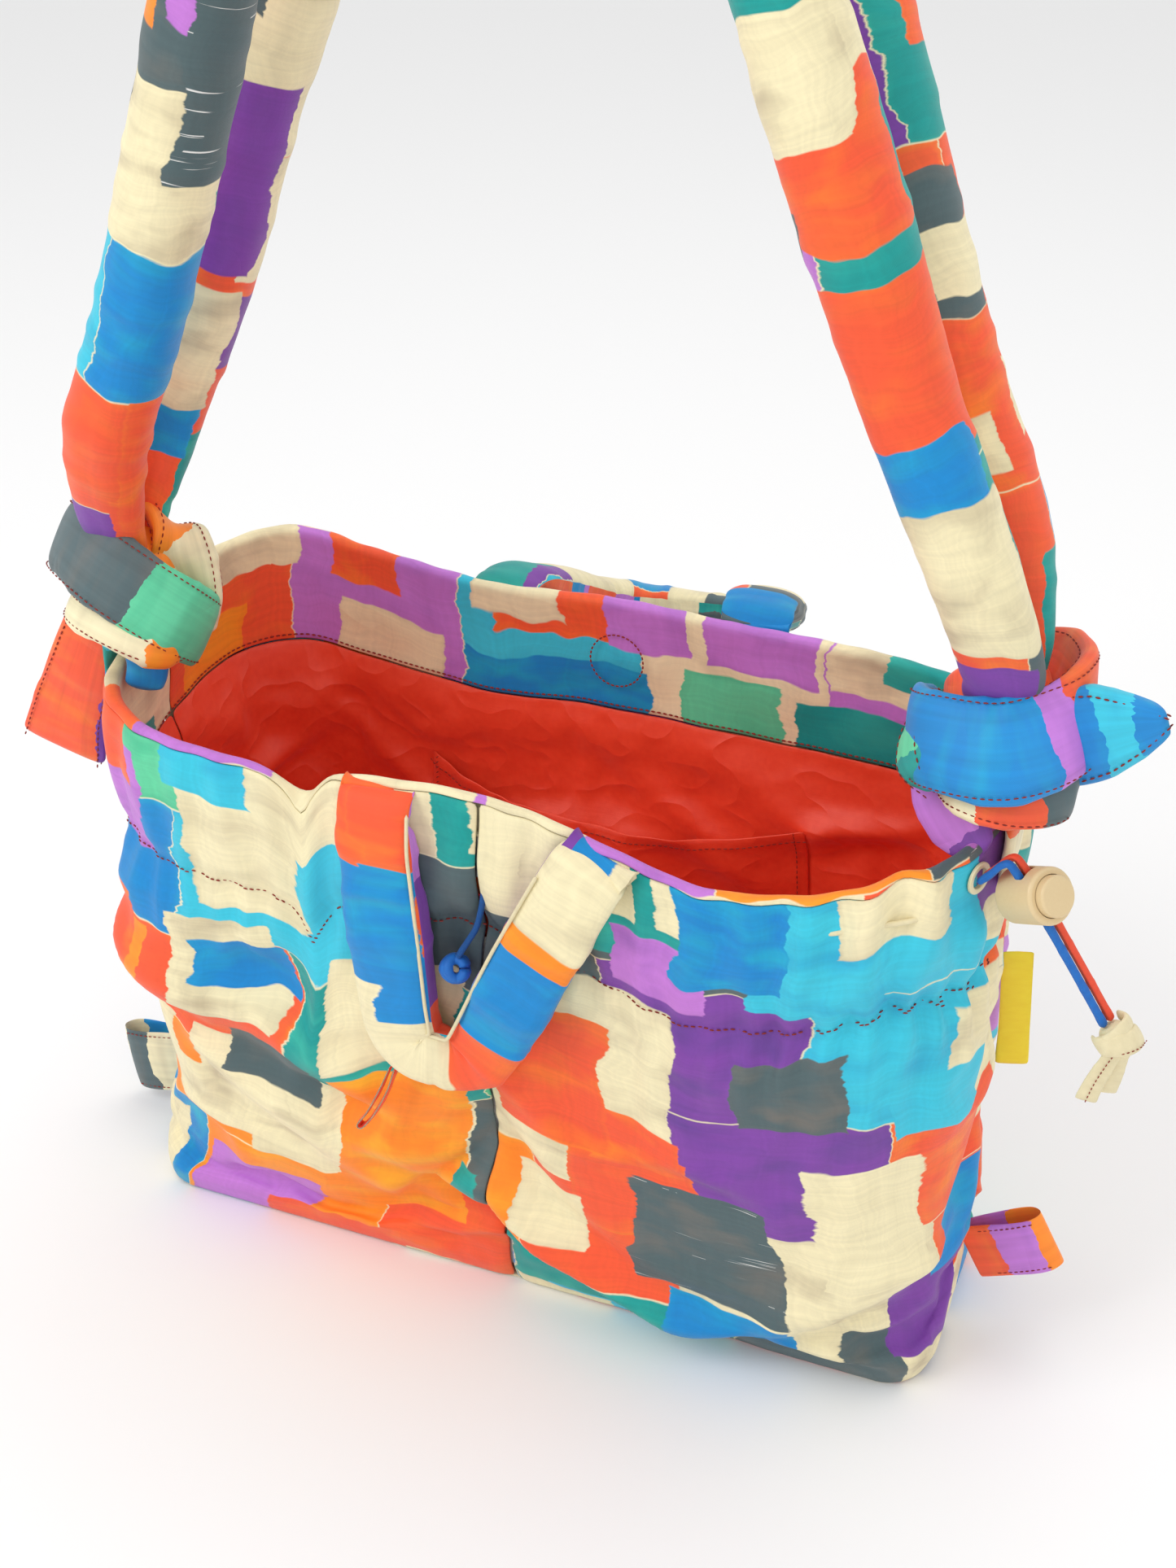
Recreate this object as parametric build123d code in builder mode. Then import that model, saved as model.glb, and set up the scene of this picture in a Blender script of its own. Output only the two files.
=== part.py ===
from build123d import *
from math import cos, pi, radians, sin, tan
import os

# Soft drawstring carry bag: printed outer shell, lining, two grab handles and two tied shoulder straps.
# Millimetres. Origin: middle of the base on the ground. +X runs along the bag, the front faces -Y, +Z is up.

# ---- bag shell ----
base_length = 386
base_depth = 116
base_corner = 22
belly_length = 391
belly_depth = 146
belly_corner = 46
belly_height = 95
top_length = 387
top_depth = 158
top_corner = 55
shoulder_height = 190      # above this the wall stands straight
rim_height = 282           # rim height at the middle of the depth
rim_slope = 0.19           # the back rim stands higher than the front rim
outer_t = 1.5
base_t = 1.5
wadding_t = 2.6
lining_t = 1.0
layer_gap = 0.2            # between one cloth layer and the next
facing_t = 1.2
facing_drop = 48           # facing depth below the rim
hem_t = 2.5                # turned-over edge at the rim
channel_drop = 58          # drawcord channel seam below the rim
board_t = 2.0
board_margin = 8.5

# ---- inner pocket ----
pocket_width = 200
pocket_height = 112
pocket_top = 204
pocket_gap = 5.6
pocket_t = 1.0
pocket_clearance = 0.4     # back of the pocket to the lining
pocket_open = 2            # the front sheet ends this far below the back one

# ---- snap, eyelet and drawcord ----
snap_radius = 9
snap_t = 2.2
snap_drop = 24
cord_d = 2.2
eyelet_y = -45
eyelet_bore = 4.2
eyelet_flange = 6.6
eyelet_t = 1.2
eyelet_stand = 0.5         # underside of the flange to the wall
washer_t = 0.6

# ---- knots, tabs and straps ----
knot_in = 3.5              # knot middle to the end wall, inwards
knot_y = -20
knot_height = 310
knot_r = 27
tab_width = 30
tab_t = 2.6
tab_bottom = 252
tab_top = 292
tail_forward = 4           # middle of a tail in front of the knot middle
tail_clearance = 0.05
left_tail_t = 7
right_tail_t = 8
strap_r = 18
strap_gap = 1              # half the gap between the two straps at the knots
strap_lift = 36            # start of the padded tube above the knot's middle
strap_lean = 3             # degrees, away from the other strap
strap_foot_in = 3          # strap foot inwards of the knot middle
strap_shoulder = 50
strap_rise = 402
strap_bend = 70
strap_cover_t = 1.2

# ---- grab handles ----
handle_width = 34
handle_t = 16
handle_round = 7
handle_gap = 1             # handle to the rim's outer face
handle_above = 6           # hinge line above the rim edge
rear_droop = 25            # degrees below level, backwards

# ---- cord lock and the hanging cord ends ----
lock_centre = Vector(213, -48, 263)
lock_entry = 5             # straight run of the strands before the barrel
end_dir = Vector(0.5387, 0, -0.8425).normalized()
press_hint = Vector(0.6, -0.5, 0.6)
strand_d = 3.2
strand_pitch = 4.1
strand_tail = 60           # lock centre to the end knot
lock_r = 11
lock_back = 12
lock_front = 8
lock_wall = 2.0
plunger_clearance = 0.3
plunger_proud = 3.6
plunger_travel = 3.0
plunger_tail = 4.0
hole_clearance = 0.6
spring_wire = 0.7
spring_turns = 3
spring_end_gap = 0.2
end_knot_r = 8

# ---- loops and label ----
loop_reach = 40
loop_band = 1.4
loop_gap = 6.0
loop_root_gap = 2.6
left_loop_z = (10, 50)
right_loop_z = (24, 54)
right_loop_tilt = 28

rim_front = rim_height - rim_slope * top_depth / 2
cord_height = rim_front - 5.99
eyelet_height = rim_front - 3.49
knot_x = top_length / 2 - knot_in
strap_foot = knot_x - strap_foot_in
strap_offset = strap_r + strap_gap
handle_offset = handle_t / 2 + handle_gap

os.makedirs("parts", exist_ok=True)

def rim_plane(drop=0):
    """Plane of the rim, or of a line sewn parallel to it and lower by drop."""
    return Plane(origin=(0, 0, rim_height - drop), x_dir=(1, 0, 0), z_dir=(0, -rim_slope, 1))


def rim_at(y):
    return rim_height + rim_slope * y


def save(piece, label):
    piece.part.label = label
    export_step(piece.part, f"parts/{label}.step")


def shell_block(inset):
    """Solid inside the bag's outer surface moved inwards by inset."""
    sections = [
        (0, base_length, base_depth, base_corner),
        (belly_height, belly_length, belly_depth, belly_corner),
        (shoulder_height, top_length, top_depth, top_corner),
    ]
    with BuildPart() as block:
        for height, length, depth, corner in sections:
            with BuildSketch(Plane.XY.offset(height)):
                RectangleRounded(length - 2 * inset, depth - 2 * inset, corner - inset)
        loft()
        with BuildSketch(Plane.XY.offset(shoulder_height)):
            RectangleRounded(top_length - 2 * inset, top_depth - 2 * inset, top_corner - inset)
        extrude(amount=rim_height - shoulder_height + 40)
    return block.part


def band(inset, thickness):
    """One cloth layer all round: the shell between two insets."""
    with BuildPart() as layer:
        add(shell_block(inset))
        add(shell_block(inset + thickness), mode=Mode.SUBTRACT)
    return layer.part


wadding_in = outer_t + layer_gap
lining_in = wadding_in + wadding_t + layer_gap

# ---- outer panels ----
outer_layer = band(0, outer_t)

with BuildPart() as front_left_panel:
    add(outer_layer)
    split(bisect_by=Plane.XY.offset(base_t), keep=Keep.TOP)
    split(bisect_by=rim_plane(), keep=Keep.BOTTOM)
    split(bisect_by=Plane.XZ, keep=Keep.TOP)
    split(bisect_by=Plane.YZ, keep=Keep.BOTTOM)
save(front_left_panel, "front_left_panel")

with BuildPart() as back_panel:
    add(outer_layer)
    split(bisect_by=Plane.XY.offset(base_t), keep=Keep.TOP)
    split(bisect_by=rim_plane(), keep=Keep.BOTTOM)
    split(bisect_by=Plane.XZ, keep=Keep.BOTTOM)
save(back_panel, "back_panel")

with BuildPart() as base_panel:
    with BuildSketch():
        RectangleRounded(base_length, base_depth, base_corner)
    extrude(amount=base_t)
save(base_panel, "base_panel")

# ---- wadding between outer and lining, below the channel ----
wadding_layer = band(wadding_in, wadding_t)
for label, side in (("front_wadding", Keep.TOP), ("back_wadding", Keep.BOTTOM)):
    with BuildPart() as wadding:
        add(wadding_layer)
        split(bisect_by=Plane.XY.offset(base_t + layer_gap), keep=Keep.TOP)
        split(bisect_by=rim_plane(channel_drop), keep=Keep.BOTTOM)
        split(bisect_by=Plane.XZ, keep=side)
    save(wadding, label)

# ---- base board and lining ----
board_z = base_t + layer_gap
with BuildPart() as base_board:
    with BuildSketch(Plane.XY.offset(board_z)):
        RectangleRounded(base_length - 2 * board_margin, base_depth - 2 * board_margin,
                         base_corner - board_margin)
    extrude(amount=board_t)
save(base_board, "base_board")

lining_z = board_z + board_t + layer_gap
lining_edge = lining_in + lining_t + 2 * layer_gap
with BuildPart() as base_lining:
    with BuildSketch(Plane.XY.offset(lining_z)):
        RectangleRounded(base_length - 2 * lining_edge, base_depth - 2 * lining_edge,
                         base_corner - lining_edge)
    extrude(amount=lining_t)
save(base_lining, "base_lining")

lining_layer = band(lining_in, lining_t)
for label, side in (("front_lining", Keep.TOP), ("back_lining", Keep.BOTTOM)):
    with BuildPart() as lining:
        add(lining_layer)
        split(bisect_by=Plane.XY.offset(lining_z), keep=Keep.TOP)
        split(bisect_by=rim_plane(facing_drop + layer_gap), keep=Keep.BOTTOM)
        split(bisect_by=Plane.XZ, keep=side)
    save(lining, label)

# ---- printed facing with its turned-over hem ----
facing_layer = band(lining_in, facing_t)
hem_layer = band(wadding_in, lining_in - wadding_in + facing_t / 2)
for label, side in (("front_facing", Keep.TOP), ("back_facing", Keep.BOTTOM)):
    with BuildPart() as facing:
        add(facing_layer)
        split(bisect_by=rim_plane(facing_drop), keep=Keep.TOP)
        with BuildPart(mode=Mode.PRIVATE) as hem:
            add(hem_layer)
            split(bisect_by=rim_plane(hem_t), keep=Keep.TOP)
        add(hem.part)
        split(bisect_by=rim_plane(), keep=Keep.BOTTOM)
        split(bisect_by=Plane.XZ, keep=side)
    save(facing, label)

# ---- patch pocket on the back lining: a flat pouch open at the top ----
pocket_y = min(top_depth, belly_depth) / 2 - lining_in - lining_t - pocket_clearance
with BuildPart() as inner_pocket:
    with BuildSketch(Plane.XZ.offset(-pocket_y)):
        with Locations((0, pocket_top - pocket_height / 2)):
            RectangleRounded(pocket_width, pocket_height, 6)
    extrude(amount=pocket_gap + pocket_t)
    with BuildSketch(Plane.XZ.offset(-pocket_y)):
        with Locations((0, pocket_top - pocket_height / 2 + pocket_t + pocket_open)):
            Rectangle(pocket_width - 2 * pocket_t, pocket_height + pocket_open)
    extrude(amount=pocket_gap, mode=Mode.SUBTRACT)
save(inner_pocket, "inner_pocket")

# ---- magnetic snap halves in the channel layer ----
snap_gap = (lining_in - outer_t - snap_t) / 2
for label, side in (("snap_stud", -1), ("snap_socket", 1)):
    face = top_depth / 2 - outer_t - snap_gap
    start = face if side < 0 else -face
    with BuildPart() as snap:
        with BuildSketch(Plane.XZ.offset(start)):
            with Locations((0, rim_at(side * face) - snap_drop)):
                Circle(snap_radius)
        extrude(amount=-snap_t if side < 0 else snap_t)
    save(snap, label)

# ---- eyelet at the right-hand end of the front channel ----
corner_x = top_length / 2 - top_corner
corner_y = -(top_depth / 2 - top_corner)
eyelet_rise = (eyelet_y - corner_y) / top_corner
eyelet_out = Vector((1 - eyelet_rise**2) ** 0.5, eyelet_rise, 0)
eyelet_face = Vector(corner_x, corner_y, eyelet_height) + eyelet_out * (top_corner + eyelet_stand)
eyelet_plane = Plane(origin=eyelet_face, x_dir=(0, 0, 1), z_dir=eyelet_out)
washer_depth = outer_t + eyelet_stand + washer_t

with BuildPart() as eyelet:
    with BuildSketch(eyelet_plane):
        Circle(eyelet_flange)
    extrude(amount=eyelet_t)
    with BuildSketch(eyelet_plane):
        Circle(eyelet_bore + 0.8)
    extrude(amount=-washer_depth - 0.5)
    with BuildSketch(eyelet_plane.offset(eyelet_t)):
        Circle(eyelet_bore)
    extrude(amount=-eyelet_t - washer_depth - 0.5, mode=Mode.SUBTRACT)
    fillet(eyelet.faces().sort_by(Axis(eyelet_face, eyelet_out))[-1].edges(), 0.5)
save(eyelet, "eyelet")

with BuildPart() as eyelet_washer:
    with BuildSketch(eyelet_plane.offset(-washer_depth)):
        Circle(eyelet_flange - washer_t)
        Circle(eyelet_bore + 0.9, mode=Mode.SUBTRACT)
    extrude(amount=-washer_t)
save(eyelet_washer, "eyelet_washer")

# The right front panel is cut for the eyelet, so it follows it.
with BuildPart() as front_right_panel:
    add(outer_layer)
    split(bisect_by=Plane.XY.offset(base_t), keep=Keep.TOP)
    split(bisect_by=rim_plane(), keep=Keep.BOTTOM)
    split(bisect_by=Plane.XZ, keep=Keep.TOP)
    split(bisect_by=Plane.YZ, keep=Keep.TOP)
    with BuildSketch(eyelet_plane.offset(eyelet_t)):
        Circle(eyelet_bore + 1.1)
    extrude(amount=-2 * washer_depth, mode=Mode.SUBTRACT)
save(front_right_panel, "front_right_panel")

# ---- drawcord: right round inside the channel, both ends at the eyelet ----
cord_in = outer_t + (lining_in - outer_t) / 2
with BuildPart() as drawcord:
    with BuildSketch(Plane.XY.offset(cord_height)):
        RectangleRounded(top_length - 2 * cord_in, top_depth - 2 * cord_in, top_corner - cord_in)
    ring_wire = drawcord.pending_faces[0].outer_wire()
    drawcord.pending_faces.clear()
    with BuildSketch(Plane(origin=(0, cord_in - top_depth / 2, cord_height), z_dir=(1, 0, 0))):
        Circle(cord_d / 2)
    sweep(path=ring_wire)
    with BuildSketch(eyelet_plane.offset(eyelet_t)):
        Circle(eyelet_flange + 2)
    extrude(amount=-12, mode=Mode.SUBTRACT)
save(drawcord, "drawcord")

# ---- side tabs and the knots tied on them ----
tab_layer = band(-tab_t - layer_gap, tab_t)


def side_tab(side):
    with BuildPart() as tab:
        add(tab_layer)
        with Locations((side * top_length / 2, knot_y, (tab_bottom + tab_top) / 2)):
            Box(60, tab_width, tab_top - tab_bottom, mode=Mode.INTERSECT)
    return tab


def strap_knot(side, tab):
    with BuildPart() as knot:
        with Locations((side * knot_x, knot_y, knot_height)):
            Sphere(knot_r, rotation=(0, 0, 0 if side < 0 else 180))
        add(tab.part, mode=Mode.SUBTRACT)
    return knot


def knot_tail(side, outline, thickness):
    """Flat strap end that sticks out of a knot, drawn in the front view from the middle of the knot."""
    corners = [(side * knot_x + x, knot_height + z) for x, z in outline]
    with BuildPart() as tail:
        with BuildSketch(Plane.XZ.offset(-knot_y + tail_forward + thickness / 2)):
            with BuildLine():
                Polyline(*corners, close=True)
            make_face()
        extrude(amount=-thickness)
        with Locations((side * knot_x, knot_y, knot_height)):
            Sphere(knot_r + tail_clearance, mode=Mode.SUBTRACT)
    return tail


left_tab = side_tab(-1)
right_tab = side_tab(1)
save(left_tab, "left_tab")
save(right_tab, "right_tab")
left_knot = strap_knot(-1, left_tab)
right_knot = strap_knot(1, right_tab)
save(left_knot, "left_knot")
save(right_knot, "right_knot")

left_tail_outline = [(-13, -10), (-32, -18), (-59, -78), (-21, -96), (-10, -48), (-6, -20)]
right_tail_outline = [(16, 24), (32, 32), (57, 20), (34, -10), (16, -18)]
left_tail = knot_tail(-1, left_tail_outline, left_tail_t)
right_tail = knot_tail(1, right_tail_outline, right_tail_t)
save(left_tail, "left_tail")
save(right_tail, "right_tail")


# ---- shoulder straps: padded tubes in an arch, each hinged where it leaves the knots ----
def strap_plane(side):
    lean = radians(strap_lean) * side
    return Plane(origin=(0, knot_y + side * strap_offset, knot_height), x_dir=(1, 0, 0),
                 z_dir=(0, -cos(lean), sin(lean)))


def strap_tube(side, radius, bore):
    with BuildPart() as tube:
        with BuildLine(strap_plane(side)) as arch:
            FilletPolyline((-strap_foot, strap_lift), (-strap_shoulder, strap_rise),
                           (strap_shoulder, strap_rise), (strap_foot, strap_lift), radius=strap_bend)
        path = arch.line
        with BuildSketch(Plane(origin=path @ 0, z_dir=path % 0)):
            Circle(radius)
            if bore:
                Circle(bore, mode=Mode.SUBTRACT)
        sweep(path=path)
    return tube


for name, side in (("front_strap", -1), ("rear_strap", 1)):
    save(strap_tube(side, strap_r, strap_r - strap_cover_t), f"{name}_cover")
    save(strap_tube(side, strap_r - strap_cover_t - layer_gap, 0), f"{name}_filling")


# ---- grab handles: padded bands, hinged along the rim seam ----
def handle_band(plane, points, bend, inset, end_cap):
    width = handle_width - 2 * inset
    depth = handle_t - 2 * inset
    with BuildPart() as strip:
        with BuildLine(plane) as loop:
            FilletPolyline(*points, radius=bend)
        path = loop.line
        with BuildSketch(Plane(origin=path @ 0, x_dir=plane.z_dir, z_dir=path % 0)):
            RectangleRounded(depth, width, handle_round - inset)
        sweep(path=path)
        if end_cap:
            for foot in (points[0][0], points[-1][0]):
                with Locations(plane.location * Location((foot, 0, 0), (0, 90, 0))):
                    Cylinder(handle_t / 2, handle_width)
    return strip


def beyond(before, end):
    """The end of a leg moved on along the leg, past the hinge line."""
    step = Vector(*end) - Vector(*before)
    past = Vector(*end) + step.normalized() * 1.5 * handle_t / 2
    return (past.X, past.Y)


def handle(name, plane, points, bend):
    cover = handle_band(plane, points, bend, 0, True)
    reach = [beyond(points[1], points[0])] + points[1:-1] + [beyond(points[-2], points[-1])]
    with BuildPart() as hollow:
        add(cover.part)
        add(handle_band(plane, reach, bend, strap_cover_t, False).part, mode=Mode.SUBTRACT)
    filling = handle_band(plane, points, bend, strap_cover_t + layer_gap, False)
    save(hollow, f"{name}_cover")
    save(filling, f"{name}_filling")


front_hinge_y = -(top_depth / 2 + handle_offset)
front_hinge_z = rim_at(-top_depth / 2) + handle_above
rear_hinge_y = top_depth / 2 + handle_offset
rear_hinge_z = rim_at(top_depth / 2) + handle_above

front_plane = Plane(origin=(0, front_hinge_y, front_hinge_z), x_dir=(1, 0, 0), z_dir=(0, -1, 0))
front_points = [(-42, 0), (-31, -120), (0, -118), (55, 0)]
handle("front_handle", front_plane, front_points, 17.5)

droop = radians(rear_droop)
rear_plane = Plane(origin=(0, rear_hinge_y, rear_hinge_z), x_dir=(1, 0, 0), z_dir=(0, sin(droop), cos(droop)))
rear_points = [(-66, 0), (-48, 104), (46, 108), (66, 0)]
handle("rear_handle", rear_plane, rear_points, 34)

# ---- thin button loop sewn to the lower edge of the front handle ----
with BuildPart() as button_loop:
    with BuildSketch(Plane(origin=(-47, front_hinge_y - 2, front_hinge_z - 153), x_dir=(0.42, 0, 0.9075),
                           z_dir=(0, -1, 0))):
        SlotOverall(34, 8)
        SlotOverall(28, 3.4, mode=Mode.SUBTRACT)
    extrude(amount=4)
    add(handle_band(front_plane, front_points, 17.5, -0.05, True).part, mode=Mode.SUBTRACT)
save(button_loop, "button_loop")

# ---- knot button on its cord, at the top of the centre seam ----
button_r = 6.5
button_centre = Vector(-8.5, front_hinge_y + 0.5, 197)
cord_exit = Vector(2, -top_depth / 2 - 1.9, 233)
closure_points = [cord_exit, Vector(1, -83.2, 219), Vector(-3.5, -86.2, 210.5),
                  button_centre + Vector(1.2, 0, 6.4)]
closure_d = 2.6


def cord_tube(points, diameter, label):
    """Round tube along straight runs joined by arcs as large as their runs allow."""
    radii = []
    for before, here, after in zip(points, points[1:], points[2:]):
        run_in = here - before
        run_out = after - here
        turn = run_in.get_angle(run_out)
        radii.append(0.45 * min(run_in.length, run_out.length) / tan(radians(turn / 2)))
    print(label, "radii", [round(r, 1) for r in radii])
    with BuildPart() as tube:
        with BuildLine() as route:
            FilletPolyline(*points, radius=radii)
        path = route.wires()[0]
        with BuildSketch(Plane(origin=path @ 0, z_dir=path % 0)):
            Circle(diameter / 2)
        sweep(path=path)
    print(label, "length", round(path.length, 1), "volume ratio",
          round(tube.part.volume / (path.length * pi * diameter**2 / 4), 3))
    return tube


closure_cord = cord_tube(closure_points, closure_d, "closure_cord")
save(closure_cord, "closure_cord")
with BuildPart() as knot_button:
    with Locations(button_centre):
        Sphere(button_r, rotation=(90, 0, 0))
    add(closure_cord.part, mode=Mode.SUBTRACT)
save(knot_button, "knot_button")

# ---- cord lock: barrel, sprung plunger, and the two cord ends that pass through both ----
press_dir = (press_hint - end_dir * press_hint.dot(end_dir)).normalized()
side_dir = press_dir.cross(end_dir)
lock_plane = Plane(origin=lock_centre, x_dir=side_dir, z_dir=press_dir)
hole_plane = Plane(origin=lock_centre, x_dir=side_dir, z_dir=end_dir)
hole_width = strand_pitch + strand_d + 2 * hole_clearance
hole_depth = strand_d + 2 * hole_clearance
plunger_r = lock_r - lock_wall - 1.0


def cord_hole(depth, shift):
    """Cross hole along the cord, drawn square to it, moved by shift along the press direction."""
    with BuildSketch(hole_plane.offset(-2 * lock_r)) as hole:
        with Locations((0, shift)):
            RectangleRounded(hole_width, depth, 1.2)
    return hole.sketch


with BuildPart() as lock_body:
    with BuildSketch(lock_plane.offset(-lock_back)):
        Circle(lock_r)
    extrude(amount=lock_back + lock_front)
    fillet(lock_body.edges().filter_by(GeomType.CIRCLE), 1.4)
    with BuildSketch(lock_plane.offset(lock_front)):
        Circle(plunger_r + plunger_clearance)
    extrude(amount=-(lock_back + lock_front - lock_wall), mode=Mode.SUBTRACT)
    extrude(cord_hole(hole_depth, 0), amount=4 * lock_r, mode=Mode.SUBTRACT)
save(lock_body, "lock_body")

plunger_hole = hole_depth + plunger_travel + 0.4
with BuildPart() as lock_plunger:
    with BuildSketch(lock_plane.offset(-plunger_tail)):
        Circle(plunger_r)
    extrude(amount=plunger_tail + lock_front + plunger_proud)
    fillet(lock_plunger.edges().filter_by(GeomType.CIRCLE).sort_by(Axis(lock_centre, press_dir))[-1], 1.0)
    extrude(cord_hole(plunger_hole, (plunger_travel + 0.4) / 2), amount=4 * lock_r, mode=Mode.SUBTRACT)
save(lock_plunger, "lock_plunger")

spring_floor = -lock_back + lock_wall + spring_wire / 2 + spring_end_gap
spring_height = -plunger_tail - spring_wire / 2 - spring_end_gap - spring_floor
with BuildPart() as lock_spring:
    with BuildLine() as coil:
        Helix(pitch=spring_height / spring_turns, height=spring_height, radius=plunger_r - 1.6,
              center=lock_plane.offset(spring_floor).origin, direction=press_dir)
    with BuildSketch(Plane(origin=coil.line @ 0, z_dir=coil.line % 0)):
        Circle(spring_wire / 2)
    sweep(path=coil.line, is_frenet=True)
save(lock_spring, "lock_spring")

strand_start = eyelet_face + eyelet_out * (eyelet_t + 0.4)
strand_points = [
    strand_start,
    strand_start + Vector(4.7, -1.4, 5.5),
    strand_start + Vector(8.2, -2, 11.5),
    lock_centre - end_dir * (lock_r + lock_entry),
    lock_centre + end_dir * strand_tail,
]
for label, side in (("front_strand", 1), ("rear_strand", -1)):
    shift = side_dir * (side * strand_pitch / 2)
    save(cord_tube([point + shift for point in strand_points], strand_d, label), label)

knot_plane = Plane(origin=lock_centre + end_dir * (strand_tail + 0.02), x_dir=side_dir, z_dir=end_dir)
with BuildPart() as end_knot:
    with BuildSketch(knot_plane):
        RectangleRounded(2 * end_knot_r, 1.6 * end_knot_r, 5)
    extrude(amount=13)
    fillet(end_knot.faces().sort_by(Axis(knot_plane.origin, end_dir))[-1].edges(), 3)
    with BuildSketch(Plane(origin=knot_plane.origin + end_dir * 7, x_dir=(0, 1, 0), z_dir=(-0.12, 0, -1))):
        RectangleRounded(6, 12, 2)
    extrude(amount=30)
save(end_knot, "end_knot")


# ---- lower side loops and the side label ----
def side_loop(side, heights, tilt):
    root = side * (belly_length / 2 + loop_root_gap)
    width = loop_gap + 2 * loop_band
    low, high = heights
    with BuildPart() as loop:
        with BuildSketch(Plane.XY.offset(low)):
            with Locations((side * (abs(root) + loop_reach / 2 - 8), 0)):
                SlotOverall(loop_reach + 16, width)
                SlotOverall(loop_reach + 16 - 2 * loop_band, loop_gap, mode=Mode.SUBTRACT)
        extrude(amount=high - low, dir=(0, 0, 1))
    turned = loop.part.rotate(Axis((root, 0, (low + high) / 2), (0, 1, 0)), -side * tilt)
    with BuildPart() as trimmed:
        add(turned)
        split(bisect_by=Plane.YZ.offset(root), keep=Keep.TOP if side > 0 else Keep.BOTTOM)
        with Locations((root + side * 1.5, 0, (low + high) / 2)):
            Box(3, width, high - low)
    return trimmed


save(side_loop(-1, left_loop_z, 0), "left_loop")
save(side_loop(1, right_loop_z, right_loop_tilt), "right_loop")

label_width = 12
label_height = 52
label_t = 1.2
label_y = 18
label_z = 164
label_x = max(top_length, belly_length) / 2 + 0.6
with BuildPart() as side_label:
    with BuildSketch(Plane.XZ.offset(-label_y)):
        with Locations((label_x + label_width / 2, label_z)):
            Rectangle(label_width, label_height)
    extrude(amount=label_t)
save(side_label, "side_label")
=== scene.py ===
import math
import bpy
import numpy as np
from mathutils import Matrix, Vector


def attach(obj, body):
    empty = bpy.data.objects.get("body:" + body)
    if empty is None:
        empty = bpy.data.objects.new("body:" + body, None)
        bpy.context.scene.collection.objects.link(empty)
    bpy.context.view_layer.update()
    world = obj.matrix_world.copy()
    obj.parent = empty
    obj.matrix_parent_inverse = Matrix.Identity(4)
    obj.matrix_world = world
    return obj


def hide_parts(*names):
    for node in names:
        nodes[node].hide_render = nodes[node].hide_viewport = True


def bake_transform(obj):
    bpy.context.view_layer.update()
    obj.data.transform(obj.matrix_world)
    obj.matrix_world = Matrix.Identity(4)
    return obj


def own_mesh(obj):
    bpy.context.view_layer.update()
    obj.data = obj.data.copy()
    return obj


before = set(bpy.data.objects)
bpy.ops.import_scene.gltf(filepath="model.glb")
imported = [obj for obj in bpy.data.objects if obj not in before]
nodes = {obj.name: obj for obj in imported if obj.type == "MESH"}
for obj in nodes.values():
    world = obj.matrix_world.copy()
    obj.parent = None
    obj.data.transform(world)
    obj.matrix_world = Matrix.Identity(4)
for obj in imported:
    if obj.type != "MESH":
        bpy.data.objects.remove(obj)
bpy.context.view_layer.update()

# Printed drawstring carry bag: sewn shell with lining and pocket, two grab handles, two tied shoulder straps.
# Metres, in the same frame as the loaded solids.

scene = bpy.context.scene


# small tools
def tint(red, green, blue):   # 0-255 screen colour to a linear one
    def one(value):
        value /= 255
        return value / 12.92 if value <= 0.04045 else ((value + 0.055) / 1.055) ** 2.4
    return (one(red), one(green), one(blue), 1.0)


def cloud(points, size, seed):   # smooth random field, -1 to 1, one value per point
    points = np.asarray(points, float) / size
    base = np.floor(points).astype(np.int64)
    part = points - base
    part = part * part * (3 - 2 * part)
    total = np.zeros(points.shape[:-1])
    for corner in range(8):
        step = np.array([corner & 1, corner >> 1 & 1, corner >> 2 & 1])
        cell = base + step
        code = cell[..., 0] * 374761393 + cell[..., 1] * 668265263 + cell[...,
            2] * 974634777 + seed * 1274126177
        code = (code ^ (code >> 13)) * 1103515245
        code = (code ^ (code >> 16)) & 0xFFFFFF
        total += np.prod(np.where(step == 1, part, 1 - part), axis=-1) * (code / 0x7FFFFF - 1)
    return total


def fold(points, size, seed, sharp=2.0):   # 0 to 1, high along thin winding ridges
    return np.clip(1 - 2.2 * np.abs(cloud(points, size, seed)), 0, 1) ** sharp


def ease(value, low, high):
    share = np.clip((value - low) / (high - low), 0, 1)
    return share * share * (3 - 2 * share)


def bump(value, centre, width):
    return np.exp(-((value - centre) / width) ** 2)


def unit(vectors):
    return vectors / np.maximum(np.linalg.norm(vectors, axis=-1, keepdims=True), 1e-12)


def smoothRows(points, passes, wrap=True):
    for _ in range(passes):
        if wrap:
            points = (np.roll(points, 1, 1) + np.roll(points, -1, 1) + 2 * points) / 4
        inner = (points[:-2] + points[2:] + 2 * points[1:-1]) / 4
        points = np.concatenate([points[:1], inner, points[-1:]])
    return points


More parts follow.
